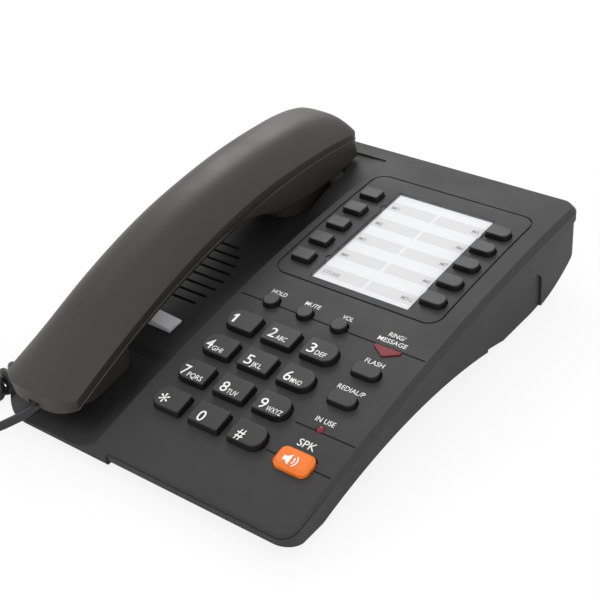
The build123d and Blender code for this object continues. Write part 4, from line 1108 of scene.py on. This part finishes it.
def pale_floor():
    """Floor that catches the shadows and glows white to the camera."""
    material, nodes, links, shader, _ = material_nodes("pale_floor")
    shader.inputs["Base Color"].default_value = (FLOOR_SHADE, FLOOR_SHADE, FLOOR_SHADE, 1)
    shader.inputs["Roughness"].default_value = FLOOR_ROUGHNESS
    glow = nodes.new("ShaderNodeEmission")
    mix = nodes.new("ShaderNodeMixShader")
    rays = nodes.new("ShaderNodeLightPath")
    share = nodes.new("ShaderNodeMath")
    share.operation = "MULTIPLY"
    share.inputs[1].default_value = FLOOR_GLOW
    links.new(rays.outputs["Is Camera Ray"], share.inputs[0])
    links.new(share.outputs["Value"], mix.inputs["Fac"])
    links.new(shader.outputs["BSDF"], mix.inputs[1])
    links.new(glow.outputs["Emission"], mix.inputs[2])
    links.new(mix.outputs["Shader"], nodes["Material Output"].inputs["Surface"])
    corners = np.array(((-1, -1, 0), (1, -1, 0), (1, 1, 0), (-1, 1, 0))) * FLOOR_REACH
    return add_mesh("studio_floor", corners, [(0, 1, 2, 3)], material)


def white_world(strength_of_sky):
    """World that is white where it is seen, also through clear plastic, and as strong as asked elsewhere."""
    world = bpy.data.worlds.new("studio")
    world.use_nodes = True
    nodes = world.node_tree.nodes
    links = world.node_tree.links
    sky = nodes["Background"]
    sky.inputs["Color"].default_value = (1, 1, 1, 1)
    path = nodes.new("ShaderNodeLightPath")
    seen = nodes.new("ShaderNodeMath")
    seen.operation = "MAXIMUM"
    links.new(path.outputs["Is Camera Ray"], seen.inputs[0])
    links.new(path.outputs["Is Transmission Ray"], seen.inputs[1])
    strength = ranged(nodes, links, seen.outputs["Value"], 0.0, 1.0, strength_of_sky, 1.0)
    links.new(strength, sky.inputs["Strength"])
    return world


def soft_lamp(name, place, size, power):
    """Square lamp that faces the object's middle."""
    lamp = bpy.data.lights.new(name, "AREA")
    lamp.energy = power
    lamp.size = size
    holder = bpy.data.objects.new(name, lamp)
    bpy.context.scene.collection.objects.link(holder)
    side = np.cross((0, 0, 1), place)
    side /= np.linalg.norm(side)
    back = np.array(place) / np.linalg.norm(place)
    turn = Matrix((side, np.cross(back, side), back)).transposed().to_4x4()
    holder.matrix_world = Matrix.Translation(place) @ turn


class PHONE_OT_stage(Operator):
    """Pale floor, soft lamps and a white surround"""

    bl_idname = "phone.stage"
    bl_label = "Stage"

    def execute(self, context):
        studio = context.scene.phone_studio
        pale_floor()
        context.scene.world = white_world(studio.sky)
        soft_lamp("key_lamp", *KEY_LAMP, studio.key_light)
        soft_lamp("fill_lamp", *FILL_LAMP, studio.fill_light)
        context.scene.view_settings.view_transform = "Standard"
        return {"FINISHED"}


OPERATORS = (
    PHONE_OT_camera,
    PHONE_OT_cord,
    PHONE_OT_finishes,
    PHONE_OT_handset_cap,
    PHONE_OT_ear_sides,
    PHONE_OT_cradle_bank,
    PHONE_OT_key_prints,
    PHONE_OT_panel_prints,
    PHONE_OT_index_prints,
    PHONE_OT_stage,
)
GROUPS = (PhoneColours, PhoneSizes, PhoneStudio)


class PHONE_PT_panel(Panel):
    """Sidebar panel with the phone's operators"""

    bl_idname = "PHONE_PT_panel"
    bl_label = "Corded hotel phone"
    bl_space_type = "VIEW_3D"
    bl_region_type = "UI"
    bl_category = "Phone"

    def draw(self, context):
        for operator in OPERATORS:
            self.layout.operator(operator.bl_idname)
        for group in (context.scene.phone_colours, context.scene.phone_sizes, context.scene.phone_studio):
            for name in group.bl_rna.properties.keys():
                if name not in ("rna_type", "name"):
                    self.layout.prop(group, name)


def register():
    """Registers the classes and hangs their settings on the scene."""
    for entry in (*GROUPS, *OPERATORS, PHONE_PT_panel):
        bpy.utils.register_class(entry)
    bpy.types.Scene.phone_colours = PointerProperty(type=PhoneColours)
    bpy.types.Scene.phone_sizes = PointerProperty(type=PhoneSizes)
    bpy.types.Scene.phone_studio = PointerProperty(type=PhoneStudio)


def unregister():
    """Takes the settings and the classes away again."""
    del bpy.types.Scene.phone_studio
    del bpy.types.Scene.phone_sizes
    del bpy.types.Scene.phone_colours
    for entry in (PHONE_PT_panel, *reversed(OPERATORS), *reversed(GROUPS)):
        bpy.utils.unregister_class(entry)


def main():
    register()
    bpy.ops.phone.camera()
    bpy.ops.phone.cord()
    bpy.ops.phone.finishes()
    bpy.ops.phone.handset_cap()
    bpy.ops.phone.ear_sides()
    bpy.ops.phone.cradle_bank()
    bpy.ops.phone.key_prints()
    bpy.ops.phone.panel_prints()
    bpy.ops.phone.index_prints()
    bpy.ops.phone.stage()


if __name__ == "__main__":
    main()
